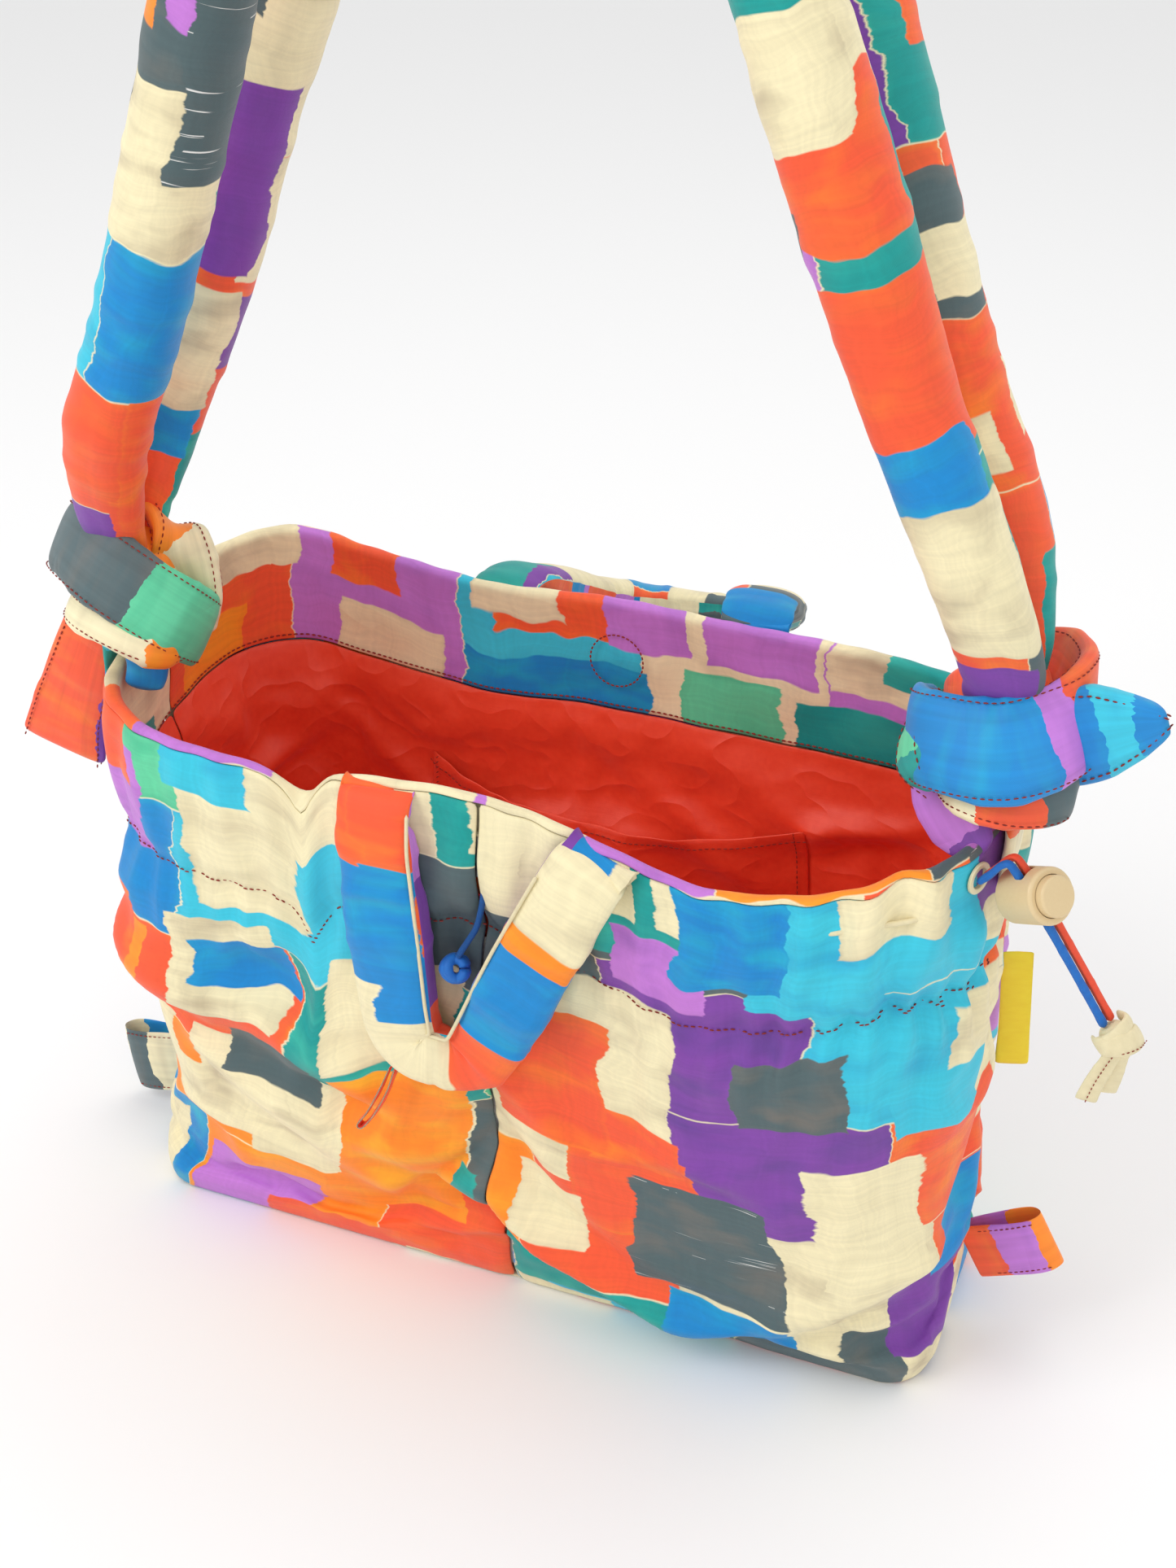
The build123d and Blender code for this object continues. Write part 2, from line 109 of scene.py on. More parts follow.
def gridObject(name, points, uv, material, wrap=False, caps=False):
    rows, cols = points.shape[:2]
    faces, corners = [], []
    for r in range(rows - 1):
        for c in range(cols if wrap else cols - 1):
            d = (c + 1) % cols
            faces.append((r * cols + c, r * cols + d, (r + 1) * cols + d, (r + 1) * cols + c))
            corners += [(r, c), (r, c + 1), (r + 1, c + 1), (r + 1, c)]
    if caps:
        faces.append(tuple(range(cols - 1, -1, -1)))
        corners += [(0, c) for c in range(cols - 1, -1, -1)]
        faces.append(tuple((rows - 1) * cols + c for c in range(cols)))
        corners += [(rows - 1, c) for c in range(cols)]
    mesh = bpy.data.meshes.new(name)
    mesh.from_pydata(points.reshape(-1, 3).tolist(), [], faces)
    layer = mesh.uv_layers.new(name="UVMap")
    index = np.array(corners)
    layer.data.foreach_set("uv", uv[index[:, 0], index[:, 1]].astype(np.float32).ravel())
    mesh.polygons.foreach_set("use_smooth", [True] * len(faces))
    mesh.materials.append(material)
    thing = bpy.data.objects.new(name, mesh)
    scene.collection.objects.link(thing)
    return thing


def thicken(thing, thickness, offset):
    solid = thing.modifiers.new("Thickness", "SOLIDIFY")
    solid.thickness = thickness
    solid.offset = offset


def soften(thing, levels=1):
    finer = thing.modifiers.new("Finer", "SUBSURF")
    finer.levels = levels
    finer.render_levels = levels


def dress(thing, slot, body, *stands):   # a piece's finish (not used), what it rides on, and the solids it stands for
    if stands:
        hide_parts(*stands)
    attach(thing, body)


def along(control, steps):   # smooth path through control points, evenly spaced
    control = np.array(control, float)
    padded = np.concatenate([[2 * control[0] - control[1]], control, [2 * control[-1] - control[-2]]])
    dense = []
    for k in range(len(control) - 1):
        p0, p1, p2, p3 = padded[k:k + 4]
        for t in np.linspace(0, 1, 24, endpoint=False):
            dense.append(0.5 * (2 * p1 + (p2 - p0) * t + (2 * p0 - 5 * p1 + 4 * p2 - p3) * t * t
                                + (3 * p1 - p0 - 3 * p2 + p3) * t ** 3))
    dense.append(control[-1])
    dense = np.array(dense)
    run = np.concatenate([[0], np.cumsum(np.linalg.norm(np.diff(dense, axis=0), axis=1))])
    even = np.linspace(0, run[-1], steps)
    line = np.stack([np.interp(even, run, dense[:, k]) for k in range(3)], axis=1)
    knots = run[::24]
    return line, even, knots


def softBand(name, path, side, width, depth, material, look):
    # padded or folded cloth band along a path; side is the direction across its width
    steps, around = look.get("steps", 60), look.get("around", 24)
    line, run, knots = along(path, steps)
    along3 = unit(np.gradient(line, axis=0))
    side = np.array(side, float)
    if side.ndim == 1:
        side = np.repeat(side[None], len(path), axis=0)
    across = np.stack([np.interp(run, knots, side[:, k]) for k in range(3)], axis=1)
    across = unit(across - along3 * np.sum(across * along3, axis=1, keepdims=True))
    face = np.cross(along3, across)
    wide = np.interp(run, knots, np.broadcast_to(width, len(path)))
    deep = np.interp(run, knots, np.broadcast_to(depth, len(path)))
    ends = look.get("endRound", 0.006)
    shut = np.sqrt(np.clip(1 - (1 - np.clip(run / ends, 0.02, 1)) ** 2, 0, 1))
    shut = shut * np.sqrt(np.clip(1 - (1 - np.clip((run[-1] - run) / ends, 0.02, 1)) ** 2, 0, 1))
    keep = look.get("flatEnd", 0.0)   # a sewn flat end keeps its width and loses only its depth
    angle = np.linspace(0, 2 * np.pi, around, endpoint=False)
    power = 2 / look.get("square", 2.6)
    ca = np.sign(np.cos(angle)) * np.abs(np.cos(angle)) ** power
    sa = np.sign(np.sin(angle)) * np.abs(np.sin(angle)) ** power
    halfWide = (wide / 2 * (keep + (1 - keep) * shut))[:, None]
    halfDeep = (deep / 2 * shut)[:, None]
    out = ca[None, :, None] * across[:, None] * halfWide[..., None] + sa[None, :, None] * face[:,
        None] * halfDeep[..., None]
    girth = np.pi * (wide.mean() + deep.mean()) / 2
    sheetPos = np.zeros((steps, around, 3))
    sheetPos[..., 0] = np.cos(angle) * girth / 6.28
    sheetPos[..., 1] = run[:, None]
    sheetPos[..., 2] = np.sin(angle) * girth / 6.28
    normal = unit(ca[None, :, None] * across[:, None] / np.maximum(halfWide[..., None], 1e-4)
                  + sa[None, :, None] * face[:, None] / np.maximum(halfDeep[..., None], 1e-4))
    push = np.zeros((steps, around))
    for size, stretch, amount, seed, ridged in look.get("wrinkles", []):
        where = sheetPos / np.array([stretch, 1, stretch])
        push += amount * (fold(where, size, seed) - 0.4 if ridged else cloud(where, size, seed))
    bend = np.gradient(along3, axis=0) / np.gradient(run)[:, None]   # curvature, towards the inside of a bend
    inside = np.clip(np.sum(bend[:, None] * normal, axis=2) / 45, 0, 1)
    crease = look.get("crease", 0.0)
    if crease:
        tight = np.convolve(np.linalg.norm(bend, axis=1), np.ones(7) / 7, "same")[:, None] / 45
        where = sheetPos / np.array([2.4, 1, 2.4])
        push -= crease * fold(where, look.get("creaseSize", 0.011), 7 + look.get("seed", 0),
                              1.5) * np.clip(inside * 1.2 + tight * 0.25, 0, 1)
    groove = look.get("groove", 0.0)   # sewn seam along both side edges
    if groove:
        push -= groove * (bump(angle, 0, 0.12) + bump(angle, 2 * np.pi, 0.12)
                          + bump(angle, np.pi, 0.12))[None, :]
    points = line[:, None] + out + normal * (push * np.minimum(shut, 1)[:, None] ** 2)[..., None]
    uv = np.zeros((steps, around + 1, 2))
    offset = look.get("uv", (0.0, 0.0))
    uv[..., 0] = np.linspace(0, girth, around + 1)[None] + offset[0]
    uv[..., 1] = run[:, None] + offset[1]
    thing = gridObject(name, points[:, ::-1], uv[:, ::-1], material, wrap=True, caps=True)
    if look.get("finer", 1):
        soften(thing, 1)
    return thing


# shader helpers
def wire(tree, value, socket):
    if isinstance(value, bpy.types.NodeSocket):
        tree.links.new(value, socket)
    else:
        socket.default_value = value


def maths(tree, operation, *values, clamp=False):
    node = tree.nodes.new("ShaderNodeMath")
    node.operation = operation
    node.use_clamp = clamp
    for value, socket in zip(values, node.inputs):
        wire(tree, value, socket)
    return node.outputs[0]


def times(tree, *values, clamp=False):
    return maths(tree, "MULTIPLY", *values, clamp=clamp)


def plus(tree, *values, clamp=False):
    return maths(tree, "ADD", *values, clamp=clamp)


def minus(tree, *values, clamp=False):
    return maths(tree, "SUBTRACT", *values, clamp=clamp)


def vectors(tree, operation, *values):
    node = tree.nodes.new("ShaderNodeVectorMath")
    node.operation = operation
    for value, socket in zip(values, node.inputs):
        wire(tree, value, socket)
    return node.outputs[0]


def ramp(tree, value, stops, blend="LINEAR"):
    node = tree.nodes.new("ShaderNodeValToRGB")
    node.color_ramp.interpolation = blend
    points = node.color_ramp.elements
    while len(points) < len(stops):
        points.new(0.5)
    for point, (place, colour) in zip(points, stops):
        point.position = place
        point.color = colour if len(np.shape(colour)) else (colour, colour, colour, 1)
    wire(tree, value, node.inputs[0])
    return node.outputs[0]


def mixed(tree, factor, first, second, blend="MIX"):
    node = tree.nodes.new("ShaderNodeMix")
    node.data_type = "RGBA"
    node.blend_type = blend
    wire(tree, factor, node.inputs[0])
    wire(tree, first, node.inputs[6])
    wire(tree, second, node.inputs[7])
    return node.outputs[2]


def noise(tree, place, scale, detail=3.0, rough=0.5):
    node = tree.nodes.new("ShaderNodeTexNoise")
    node.inputs["Scale"].default_value = scale
    node.inputs["Detail"].default_value = detail
    node.inputs["Roughness"].default_value = rough
    wire(tree, place, node.inputs["Vector"])
    return node.outputs["Fac"]


def stretched(tree, place, x, y, z=1.0):
    return vectors(tree, "MULTIPLY", place, (x, y, z))


def useGroup(tree, group, **fixed):   # a group node with its fixed inputs set; _ stands for a space
    node = tree.nodes.new("ShaderNodeGroup")
    node.node_tree = group
    for label, value in fixed.items():
        node.inputs[label.replace("_", " ")].default_value = value
    return node


def newGroup(name, inputs, outputs):
    tree = bpy.data.node_groups.new(name, "ShaderNodeTree")
    for label, kind, value in inputs:
        socket = tree.interface.new_socket(name=label, in_out="INPUT", socket_type=kind)
        if value is not None:
            socket.default_value = value
    for label, kind in outputs:
        tree.interface.new_socket(name=label, in_out="OUTPUT", socket_type=kind)
    return tree, tree.nodes.new("NodeGroupInput"), tree.nodes.new("NodeGroupOutput")


# the print: brushed colour blocks
palette = {
    "cream": (tint(240, 229, 188), tint(176, 160, 132)),
    "red": (tint(244, 88, 48), tint(255, 150, 30)),
    "blue": (tint(0, 134, 206), tint(20, 186, 206)),
    "orange": (tint(255, 138, 28), tint(250, 190, 40)),
    "grey": (tint(78, 98, 102), tint(120, 112, 104)),
    "mint": (tint(96, 208, 160), tint(40, 170, 130)),
    "teal": (tint(0, 152, 148), tint(60, 190, 170)),
    "purple": (tint(126, 64, 164), tint(90, 60, 140)),
    "lilac": (tint(196, 122, 214), tint(150, 90, 180)),
    "cyan": (tint(54, 198, 224), tint(20, 150, 200)),
}
order = ["cream", "red", "blue", "cream", "orange", "red", "grey", "cream", "cyan", "red",
         "mint", "cream", "purple", "red", "cream", "lilac", "blue", "cream", "teal", "grey"]


def brushLayer():   # one layer of painted rectangles over another colour
    tree, inp, out = newGroup("brushLayer", [
        ("Place", "NodeSocketVector", None), ("Under", "NodeSocketColor", (1, 1, 1, 1)),
        ("Cell Width", "NodeSocketFloat", 0.07), ("Cell Height", "NodeSocketFloat", 0.055),
        ("Seed", "NodeSocketFloat", 0.0), ("Share", "NodeSocketFloat", 0.6),
        ("Least Size", "NodeSocketFloat", 0.3),
        ("Glaze", "NodeSocketFloat", 0.0),
    ], [("Color", "NodeSocketColor"), ("Edge", "NodeSocketFloat"), ("Grey", "NodeSocketFloat")])
    o = inp.outputs
    parts = tree.nodes.new("ShaderNodeSeparateXYZ")
    wire(tree, o["Place"], parts.inputs[0])
    y = plus(tree, maths(tree, "DIVIDE", parts.outputs[1], o["Cell Height"]), times(tree, o["Seed"], 0.37))
    row = maths(tree, "FLOOR", y)
    rowCell = tree.nodes.new("ShaderNodeCombineXYZ")
    wire(tree, row, rowCell.inputs[0])
    wire(tree, o["Seed"], rowCell.inputs[1])
    rowRandom = tree.nodes.new("ShaderNodeTexWhiteNoise")
    wire(tree, rowCell.outputs[0], rowRandom.inputs["Vector"])
    x = plus(tree, maths(tree, "DIVIDE", parts.outputs[0], o["Cell Width"]), rowRandom.outputs["Value"])
    column = maths(tree, "FLOOR", x)
    cell = tree.nodes.new("ShaderNodeCombineXYZ")
    wire(tree, column, cell.inputs[0])
    wire(tree, row, cell.inputs[1])
    wire(tree, o["Seed"], cell.inputs[2])
    rand = tree.nodes.new("ShaderNodeTexWhiteNoise")
    wire(tree, cell.outputs[0], rand.inputs["Vector"])
    three = tree.nodes.new("ShaderNodeSeparateColor")
    wire(tree, rand.outputs["Color"], three.inputs[0])
    second = tree.nodes.new("ShaderNodeTexWhiteNoise")
    wire(tree, vectors(tree, "ADD", cell.outputs[0], (17.3, 5.1, 9.7)), second.inputs["Vector"])
    pick = tree.nodes.new("ShaderNodeSeparateColor")
    wire(tree, second.outputs["Color"], pick.inputs[0])
    inset = []
    for axis, value, size, share, move in ((0, x, "Cell Width", three.outputs[0], three.outputs[2]),
                                           (1, y, "Cell Height", three.outputs[1], pick.outputs[1])):
        half = plus(tree, o["Least Size"], times(tree, share, minus(tree, 0.5, o["Least Size"])))
        slack = times(tree, minus(tree, move, 0.5), minus(tree, 1.0, times(tree, half, 2.0)))
        local = minus(tree, minus(tree, maths(tree, "FRACT", value), 0.5), slack)
        inset.append(times(tree, minus(tree, half, maths(tree, "ABSOLUTE", local)), o[size]))
    depth = maths(tree, "MINIMUM", *inset)
    cover = times(tree, depth, 1500.0, clamp=True)
    cover = times(tree, cover, maths(tree, "LESS_THAN", rand.outputs["Value"], o["Share"]))
    edge = minus(tree, 1.0, maths(tree, "DIVIDE", depth, 0.0045), clamp=True)
    edge = times(tree, maths(tree, "POWER", edge, 1.5), maths(tree, "GREATER_THAN", pick.outputs[2], 0.35))
    stops = [(k / len(order), palette[word][0]) for k, word in enumerate(order)]
    rims = [(k / len(order), palette[word][1]) for k, word in enumerate(order)]
    main = ramp(tree, pick.outputs[0], stops, "CONSTANT")
    rim = ramp(tree, pick.outputs[0], rims, "CONSTANT")
    greyStops = [(k / len(order), 1.0 if word == "grey" else 0.0) for k, word in enumerate(order)]
    grey = ramp(tree, pick.outputs[0], greyStops, "CONSTANT")
    glaze = times(tree, o["Glaze"], plus(tree, pick.outputs[1], 0.15))
    broken = plus(tree, 0.15, times(tree, o["Glaze"], 0.9), clamp=True)
    painted = mixed(tree, maths(tree, "MAXIMUM", times(tree, edge, broken), glaze), main, rim)
    wire(tree, mixed(tree, cover, o["Under"], painted), out.inputs["Color"])
    wire(tree, times(tree, edge, cover), out.inputs["Edge"])
    wire(tree, times(tree, grey, cover), out.inputs["Grey"])
    return tree


brushTree = brushLayer()
layers = [(0.088, 0.064, 3.0, 1.1, 0.5), (0.081, 0.071, 11.0, 0.62, 0.3), (0.066, 0.049, 23.0, 0.45, 0.24),
          (0.105, 0.086, 31.0, 0.3, 0.2)]   # cell width, cell height, seed, share painted, least half size


def paintedBlocks():   # colour and paint relief of the print, from a place in metres
    tree, inp, out = newGroup("paintedBlocks",
                              [("Place", "NodeSocketVector", None), ("Shift", "NodeSocketVector", (0, 0, 0))],
                              [("Color", "NodeSocketColor"), ("Relief", "NodeSocketFloat")])
    flat = stretched(tree, inp.outputs["Place"], 1, 1, 0)
    place = vectors(tree, "ADD", flat, inp.outputs["Shift"])
    loose = tree.nodes.new("ShaderNodeTexNoise")
    loose.inputs["Scale"].default_value = 26
    loose.inputs["Detail"].default_value = 2
    wire(tree, place, loose.inputs["Vector"])
    rough = tree.nodes.new("ShaderNodeTexNoise")
    rough.inputs["Scale"].default_value = 1.0
    rough.inputs["Detail"].default_value = 3
    wire(tree, stretched(tree, place, 70, 300), rough.inputs["Vector"])
    drift = vectors(tree, "MULTIPLY", vectors(tree, "SUBTRACT", loose.outputs["Color"], (0.5, 0.5, 0.5)),
                    (0.024, 0.020, 0))
    ragged = vectors(tree, "MULTIPLY", vectors(tree, "SUBTRACT", rough.outputs["Color"], (0.5, 0.5, 0.5)),
                     (0.0046, 0.0016, 0))
    spot = vectors(tree, "ADD", place, vectors(tree, "ADD", drift, ragged))
    colour, grey, edge = palette["cream"][0], 0.0, 0.0
    wash = noise(tree, spot, 45, 2.0)
    glaze = times(tree, minus(tree, noise(tree, stretched(tree, spot, 34, 60), 1.0, 2.0), 0.46), 2.4,
                  clamp=True)
    for k, (wide, tall, seed, share, least) in enumerate(layers):
        node = useGroup(tree, brushTree, Cell_Width=wide, Cell_Height=tall, Seed=seed, Share=share,
                        Least_Size=least)
        wire(tree, vectors(tree, "ADD", spot, (0.013 * k, 0.021 * k, 0)), node.inputs["Place"])
        wire(tree, colour, node.inputs["Under"])
        wire(tree, glaze, node.inputs["Glaze"])
        colour, grey, edge = node.outputs["Color"], node.outputs["Grey"], node.outputs["Edge"]
    streak = noise(tree, stretched(tree, spot, 14, 620), 1.0, 2.0)
    upright = noise(tree, stretched(tree, spot, 520, 16), 1.0, 2.0)
    brush = plus(tree, times(tree, streak, 0.55), times(tree, upright, 0.45))
    shade = ramp(tree, brush, [(0.3, 0.90), (0.5, 1.0), (0.72, 1.12)])
    colour = mixed(tree, 0.8, colour, shade, "MULTIPLY")
    colour = mixed(tree, times(tree, wash, 0.10), colour, tint(255, 236, 196), "MULTIPLY")
    gap = times(tree, minus(tree, noise(tree, stretched(tree, place, 18, 760), 1.0, 3.0), 0.63), 26.0,
                clamp=True)
    dry = times(tree, gap, times(tree, grey, 0.9))
    dry = times(tree, dry, maths(tree, "GREATER_THAN", wash, 0.5))
    colour = mixed(tree, dry, colour, tint(240, 240, 236))
    wire(tree, colour, out.inputs["Color"])
    wire(tree, plus(tree, brush, times(tree, edge, 0.5)), out.inputs["Relief"])
    return tree


def wovenCloth():   # thread relief and soft crumple, from a place in metres
    inputs = [("Place", "NodeSocketVector", None), ("Threads", "NodeSocketFloat", 2400.0)]
    outputs = [("Height", "NodeSocketFloat"), ("Crumple", "NodeSocketFloat"), ("Mottle", "NodeSocketFloat")]
    tree, inp, out = newGroup("wovenCloth", inputs, outputs)
    parts = tree.nodes.new("ShaderNodeSeparateXYZ")
    wire(tree, inp.outputs["Place"], parts.inputs[0])
    warp = maths(tree, "SINE", times(tree, parts.outputs[0], times(tree, inp.outputs["Threads"], 6.283)))
    weft = maths(tree, "SINE", times(tree, parts.outputs[1], times(tree, inp.outputs["Threads"], 6.283)))
    thread = times(tree, times(tree, warp, weft), 0.5)
    slub = noise(tree, stretched(tree, inp.outputs["Place"], 60, 1500), 1.0, 2.0)
    wire(tree, plus(tree, thread, slub), out.inputs["Height"])
    small = noise(tree, stretched(tree, inp.outputs["Place"], 32, 48), 1.0, 1.0, 0.4)
    ridge = minus(tree, 1.0, times(tree, maths(tree, "ABSOLUTE", minus(tree, small, 0.5)), 5.0), clamp=True)
    wire(tree, times(tree, ridge, ridge), out.inputs["Crumple"])
    wire(tree, noise(tree, inp.outputs["Place"], 300, 3.0), out.inputs["Mottle"])
    return tree


blocksTree, clothTree = paintedBlocks(), wovenCloth()


def newMaterial(name):
    material = bpy.data.materials.new(name)
    material.use_nodes = True
    tree = material.node_tree
    return material, tree, next(n for n in tree.nodes if n.type == "BSDF_PRINCIPLED")


def addBump(tree, shader, heights):   # heights: (value, distance) pairs, one Bump after another
    normal = None
    for value, distance in heights:
        node = tree.nodes.new("ShaderNodeBump")
        node.inputs["Strength"].default_value = 1.0
        node.inputs["Distance"].default_value = distance
        wire(tree, value, node.inputs["Height"])
        if normal is not None:
            tree.links.new(normal, node.inputs["Normal"])
        normal = node.outputs[0]
    tree.links.new(normal, shader.inputs["Normal"])


def clothNodes(tree, threads):
    place = tree.nodes.new("ShaderNodeUVMap")
    place.uv_map = "UVMap"
    cloth = useGroup(tree, clothTree, Threads=threads)
    wire(tree, place.outputs[0], cloth.inputs["Place"])
    return place.outputs[0], cloth


# side: where the narrow side face begins and ends
def printedCloth(name, shift, crumple=0.00016, side=None):
    material, tree, shader = newMaterial(name)
    place, cloth = clothNodes(tree, 2400.0)
    blocks = useGroup(tree, blocksTree, Shift=(shift[0], shift[1], 0))
    wire(tree, place, blocks.inputs["Place"])
    colour = mixed(tree, times(tree, cloth.outputs["Mottle"], 0.08), blocks.outputs["Color"],
                   tint(190, 182, 172), "MULTIPLY")
    if side:
        around = tree.nodes.new("ShaderNodeSeparateXYZ")
        wire(tree, place, around.inputs[0])
        near = maths(tree, "LESS_THAN", around.outputs[0], side[0])
        far = maths(tree, "GREATER_THAN", around.outputs[0], side[1])
        band = ramp(tree, times(tree, around.outputs[1], 3.0),
                    [(0.0, palette["lilac"][0]), (0.28, palette["purple"][0]),
                    (0.46, palette["red"][0]), (0.6, palette["lilac"][0]), (0.8, palette["purple"][0])],
                    "CONSTANT")
        colour = mixed(tree, plus(tree, near, far), colour, band)
    wire(tree, colour, shader.inputs["Base Color"])
    wire(tree, plus(tree, 0.52, times(tree, blocks.outputs["Relief"], 0.12)), shader.inputs["Roughness"])
    shader.inputs["Sheen Weight"].default_value = 0.12
    shader.inputs["Sheen Roughness"].default_value = 0.5
    shader.inputs["Specular IOR Level"].default_value = 0.35
    addBump(tree, shader, [(cloth.outputs["Crumple"], crumple), (blocks.outputs["Relief"], 0.00002),
                           (cloth.outputs["Height"], 0.00003)])
    return material


# bands of paint along the piece, stops in millimetres
def brushedCloth(name, stops, axis=1, crumple=0.00030):
    material, tree, shader = newMaterial(name)
    place, cloth = clothNodes(tree, 2400.0)
    parts = tree.nodes.new("ShaderNodeSeparateXYZ")
    wire(tree, place, parts.inputs[0])
    loose = times(tree, minus(tree, noise(tree, place, 60, 2.0), 0.5), 0.014)
    rough = times(tree, minus(tree, noise(tree, stretched(tree, place, 420, 90), 1.0, 2.0), 0.5), 0.004)
    spot = maths(tree, "DIVIDE", plus(tree, parts.outputs[axis], plus(tree, loose, rough)), 0.2)
    colour = ramp(tree, spot, [(mm / 200, palette[word][0]) for mm, word in stops], "CONSTANT")
    glaze = ramp(tree, spot, [(mm / 200, palette[word][1]) for mm, word in stops], "CONSTANT")
    wash = times(tree, minus(tree, noise(tree, stretched(tree, place, 40, 90), 1.0, 2.0), 0.45), 2.0,
                 clamp=True)
    streak = ramp(tree, noise(tree, stretched(tree, place, 520, 20), 1.0, 2.0),
                  [(0.3, 0.88), (0.5, 1.0), (0.72, 1.12)])
    colour = mixed(tree, 0.8, mixed(tree, times(tree, wash, 0.7), colour, glaze), streak, "MULTIPLY")
    wire(tree, colour, shader.inputs["Base Color"])
    shader.inputs["Roughness"].default_value = 0.55
    shader.inputs["Sheen Weight"].default_value = 0.12
    addBump(tree, shader, [(cloth.outputs["Crumple"], crumple), (cloth.outputs["Height"], 0.00003)])
    return material


def plainCloth(name, colour, dark, roughness, crumple=0.00016, threads=2000.0):
    material, tree, shader = newMaterial(name)
    place, cloth = clothNodes(tree, threads)
    body = mixed(tree, cloth.outputs["Mottle"], colour, dark)
    wire(tree, body, shader.inputs["Base Color"])
    wire(tree, plus(tree, roughness, times(tree, cloth.outputs["Mottle"], 0.1)), shader.inputs["Roughness"])
    shader.inputs["Sheen Weight"].default_value = 0.1
    shader.inputs["Sheen Roughness"].default_value = 0.45
    addBump(tree, shader, [(cloth.outputs["Crumple"], crumple), (cloth.outputs["Height"], 0.00005)])
    return material


def hardFinish(name, colour, dark, roughness, metallic=0.0, grain=900.0, depth=0.00003, coat=0.0):
    material, tree, shader = newMaterial(name)
    place = tree.nodes.new("ShaderNodeTexCoord").outputs["Object"]
    speck = noise(tree, place, grain, 3.0)
    cloudy = noise(tree, place, 60.0, 2.0)
    wire(tree, mixed(tree, times(tree, plus(tree, speck, cloudy), 0.5), colour, dark),
         shader.inputs["Base Color"])
    wire(tree, plus(tree, roughness, times(tree, cloudy, 0.12)), shader.inputs["Roughness"])
    shader.inputs["Metallic"].default_value = metallic
    shader.inputs["Coat Weight"].default_value = coat
    addBump(tree, shader, [(speck, depth)])
    return material


leftPrint = printedCloth("printFrontLeft", (0.31, 0.12))
rightPrint = printedCloth("printFrontRight", (1.27, 0.46))
backPrint = printedCloth("printBack", (2.41, 0.87))
facingPrint = printedCloth("printFacing", (3.52, 1.08))
strapPrint = printedCloth("printStraps", (4.07, 1.71))
handlePrint = printedCloth("printHandles", (5.23, 2.39))
gripPrint = printedCloth("printFrontHandle", (5.23, 2.39), side=(0.0062, 0.0655))
leftWrapPaint = brushedCloth("paintGreyMint", [(0, "grey"), (88, "mint")])
leftUnderPaint = brushedCloth("paintCream", [(0, "cream"), (60, "orange")])
leftOverPaint = brushedCloth("paintOrangeCream", [(0, "orange"), (22, "cream")])
leftTailPaint = brushedCloth("paintRedPurple", [(0, "purple"), (9, "red"), (66, "purple")], axis=0)
tabPaint = brushedCloth("paintBlueTeal", [(0, "blue"), (18, "teal"), (30, "cyan")])
rightWrapPaint = brushedCloth("paintBlueRed", [(0, "blue"), (84, "lilac"), (98, "red")])
rightUnderPaint = brushedCloth("paintRedGrey", [(0, "cream"), (26, "red"), (50, "grey")])
mintPaint = brushedCloth("paintMint", [(0, "mint"), (26, "teal")])
rightTailPaint = brushedCloth("paintBlueCyan", [(0, "red"), (8, "blue"), (22, "cyan"), (36, "blue")])
lilacPaint = brushedCloth("paintLilac", [(0, "lilac"), (28, "purple")])
leftLoopPaint = brushedCloth("paintCreamGrey", [(0, "cream"), (24, "grey"), (38, "cream"), (52, "blue")])
rightLoopPaint = brushedCloth("paintOrangeLilac", [(0, "red"), (16, "lilac"), (34, "orange"), (60, "lilac")])
redPaint = brushedCloth("paintRed", [(0, "red"), (30, "orange")])
liningRed = plainCloth("liningRed", tint(252, 84, 50), tint(238, 62, 34), 0.34, 0.00070)
threadRed = plainCloth("threadRed", tint(206, 58, 34), tint(150, 34, 22), 0.55, 0.0001)
creamCloth = plainCloth("creamCloth", tint(238, 226, 186), tint(214, 200, 160), 0.6, 0.0003)
blueCloth = plainCloth("blueCloth", tint(0, 116, 204), tint(10, 84, 168), 0.55, 0.0003)
orangeCloth = plainCloth("orangeCloth", tint(240, 84, 46), tint(220, 62, 34), 0.55, 0.0003)
labelCloth = plainCloth("labelYellow", tint(250, 226, 44), tint(238, 204, 26), 0.5, 0.0001, 3000.0)
lockPlastic = hardFinish("lockPlastic", tint(226, 202, 156), tint(214, 188, 142), 0.36, coat=0.1)
eyeletEnamel = hardFinish("eyeletEnamel", tint(240, 228, 186), tint(226, 212, 168), 0.3, coat=0.3)
steelFinish = hardFinish("steelFinish", tint(190, 190, 192), tint(150, 150, 154), 0.25, metallic=1.0)
boardFinish = hardFinish("boardFinish", tint(200, 196, 186), tint(176, 172, 160), 0.7, grain=400.0)
paddingFinish = hardFinish("paddingFinish", tint(236, 234, 228), tint(214, 212, 206), 0.9, grain=250.0,
                           depth=0.0004)
print("finishes ready")


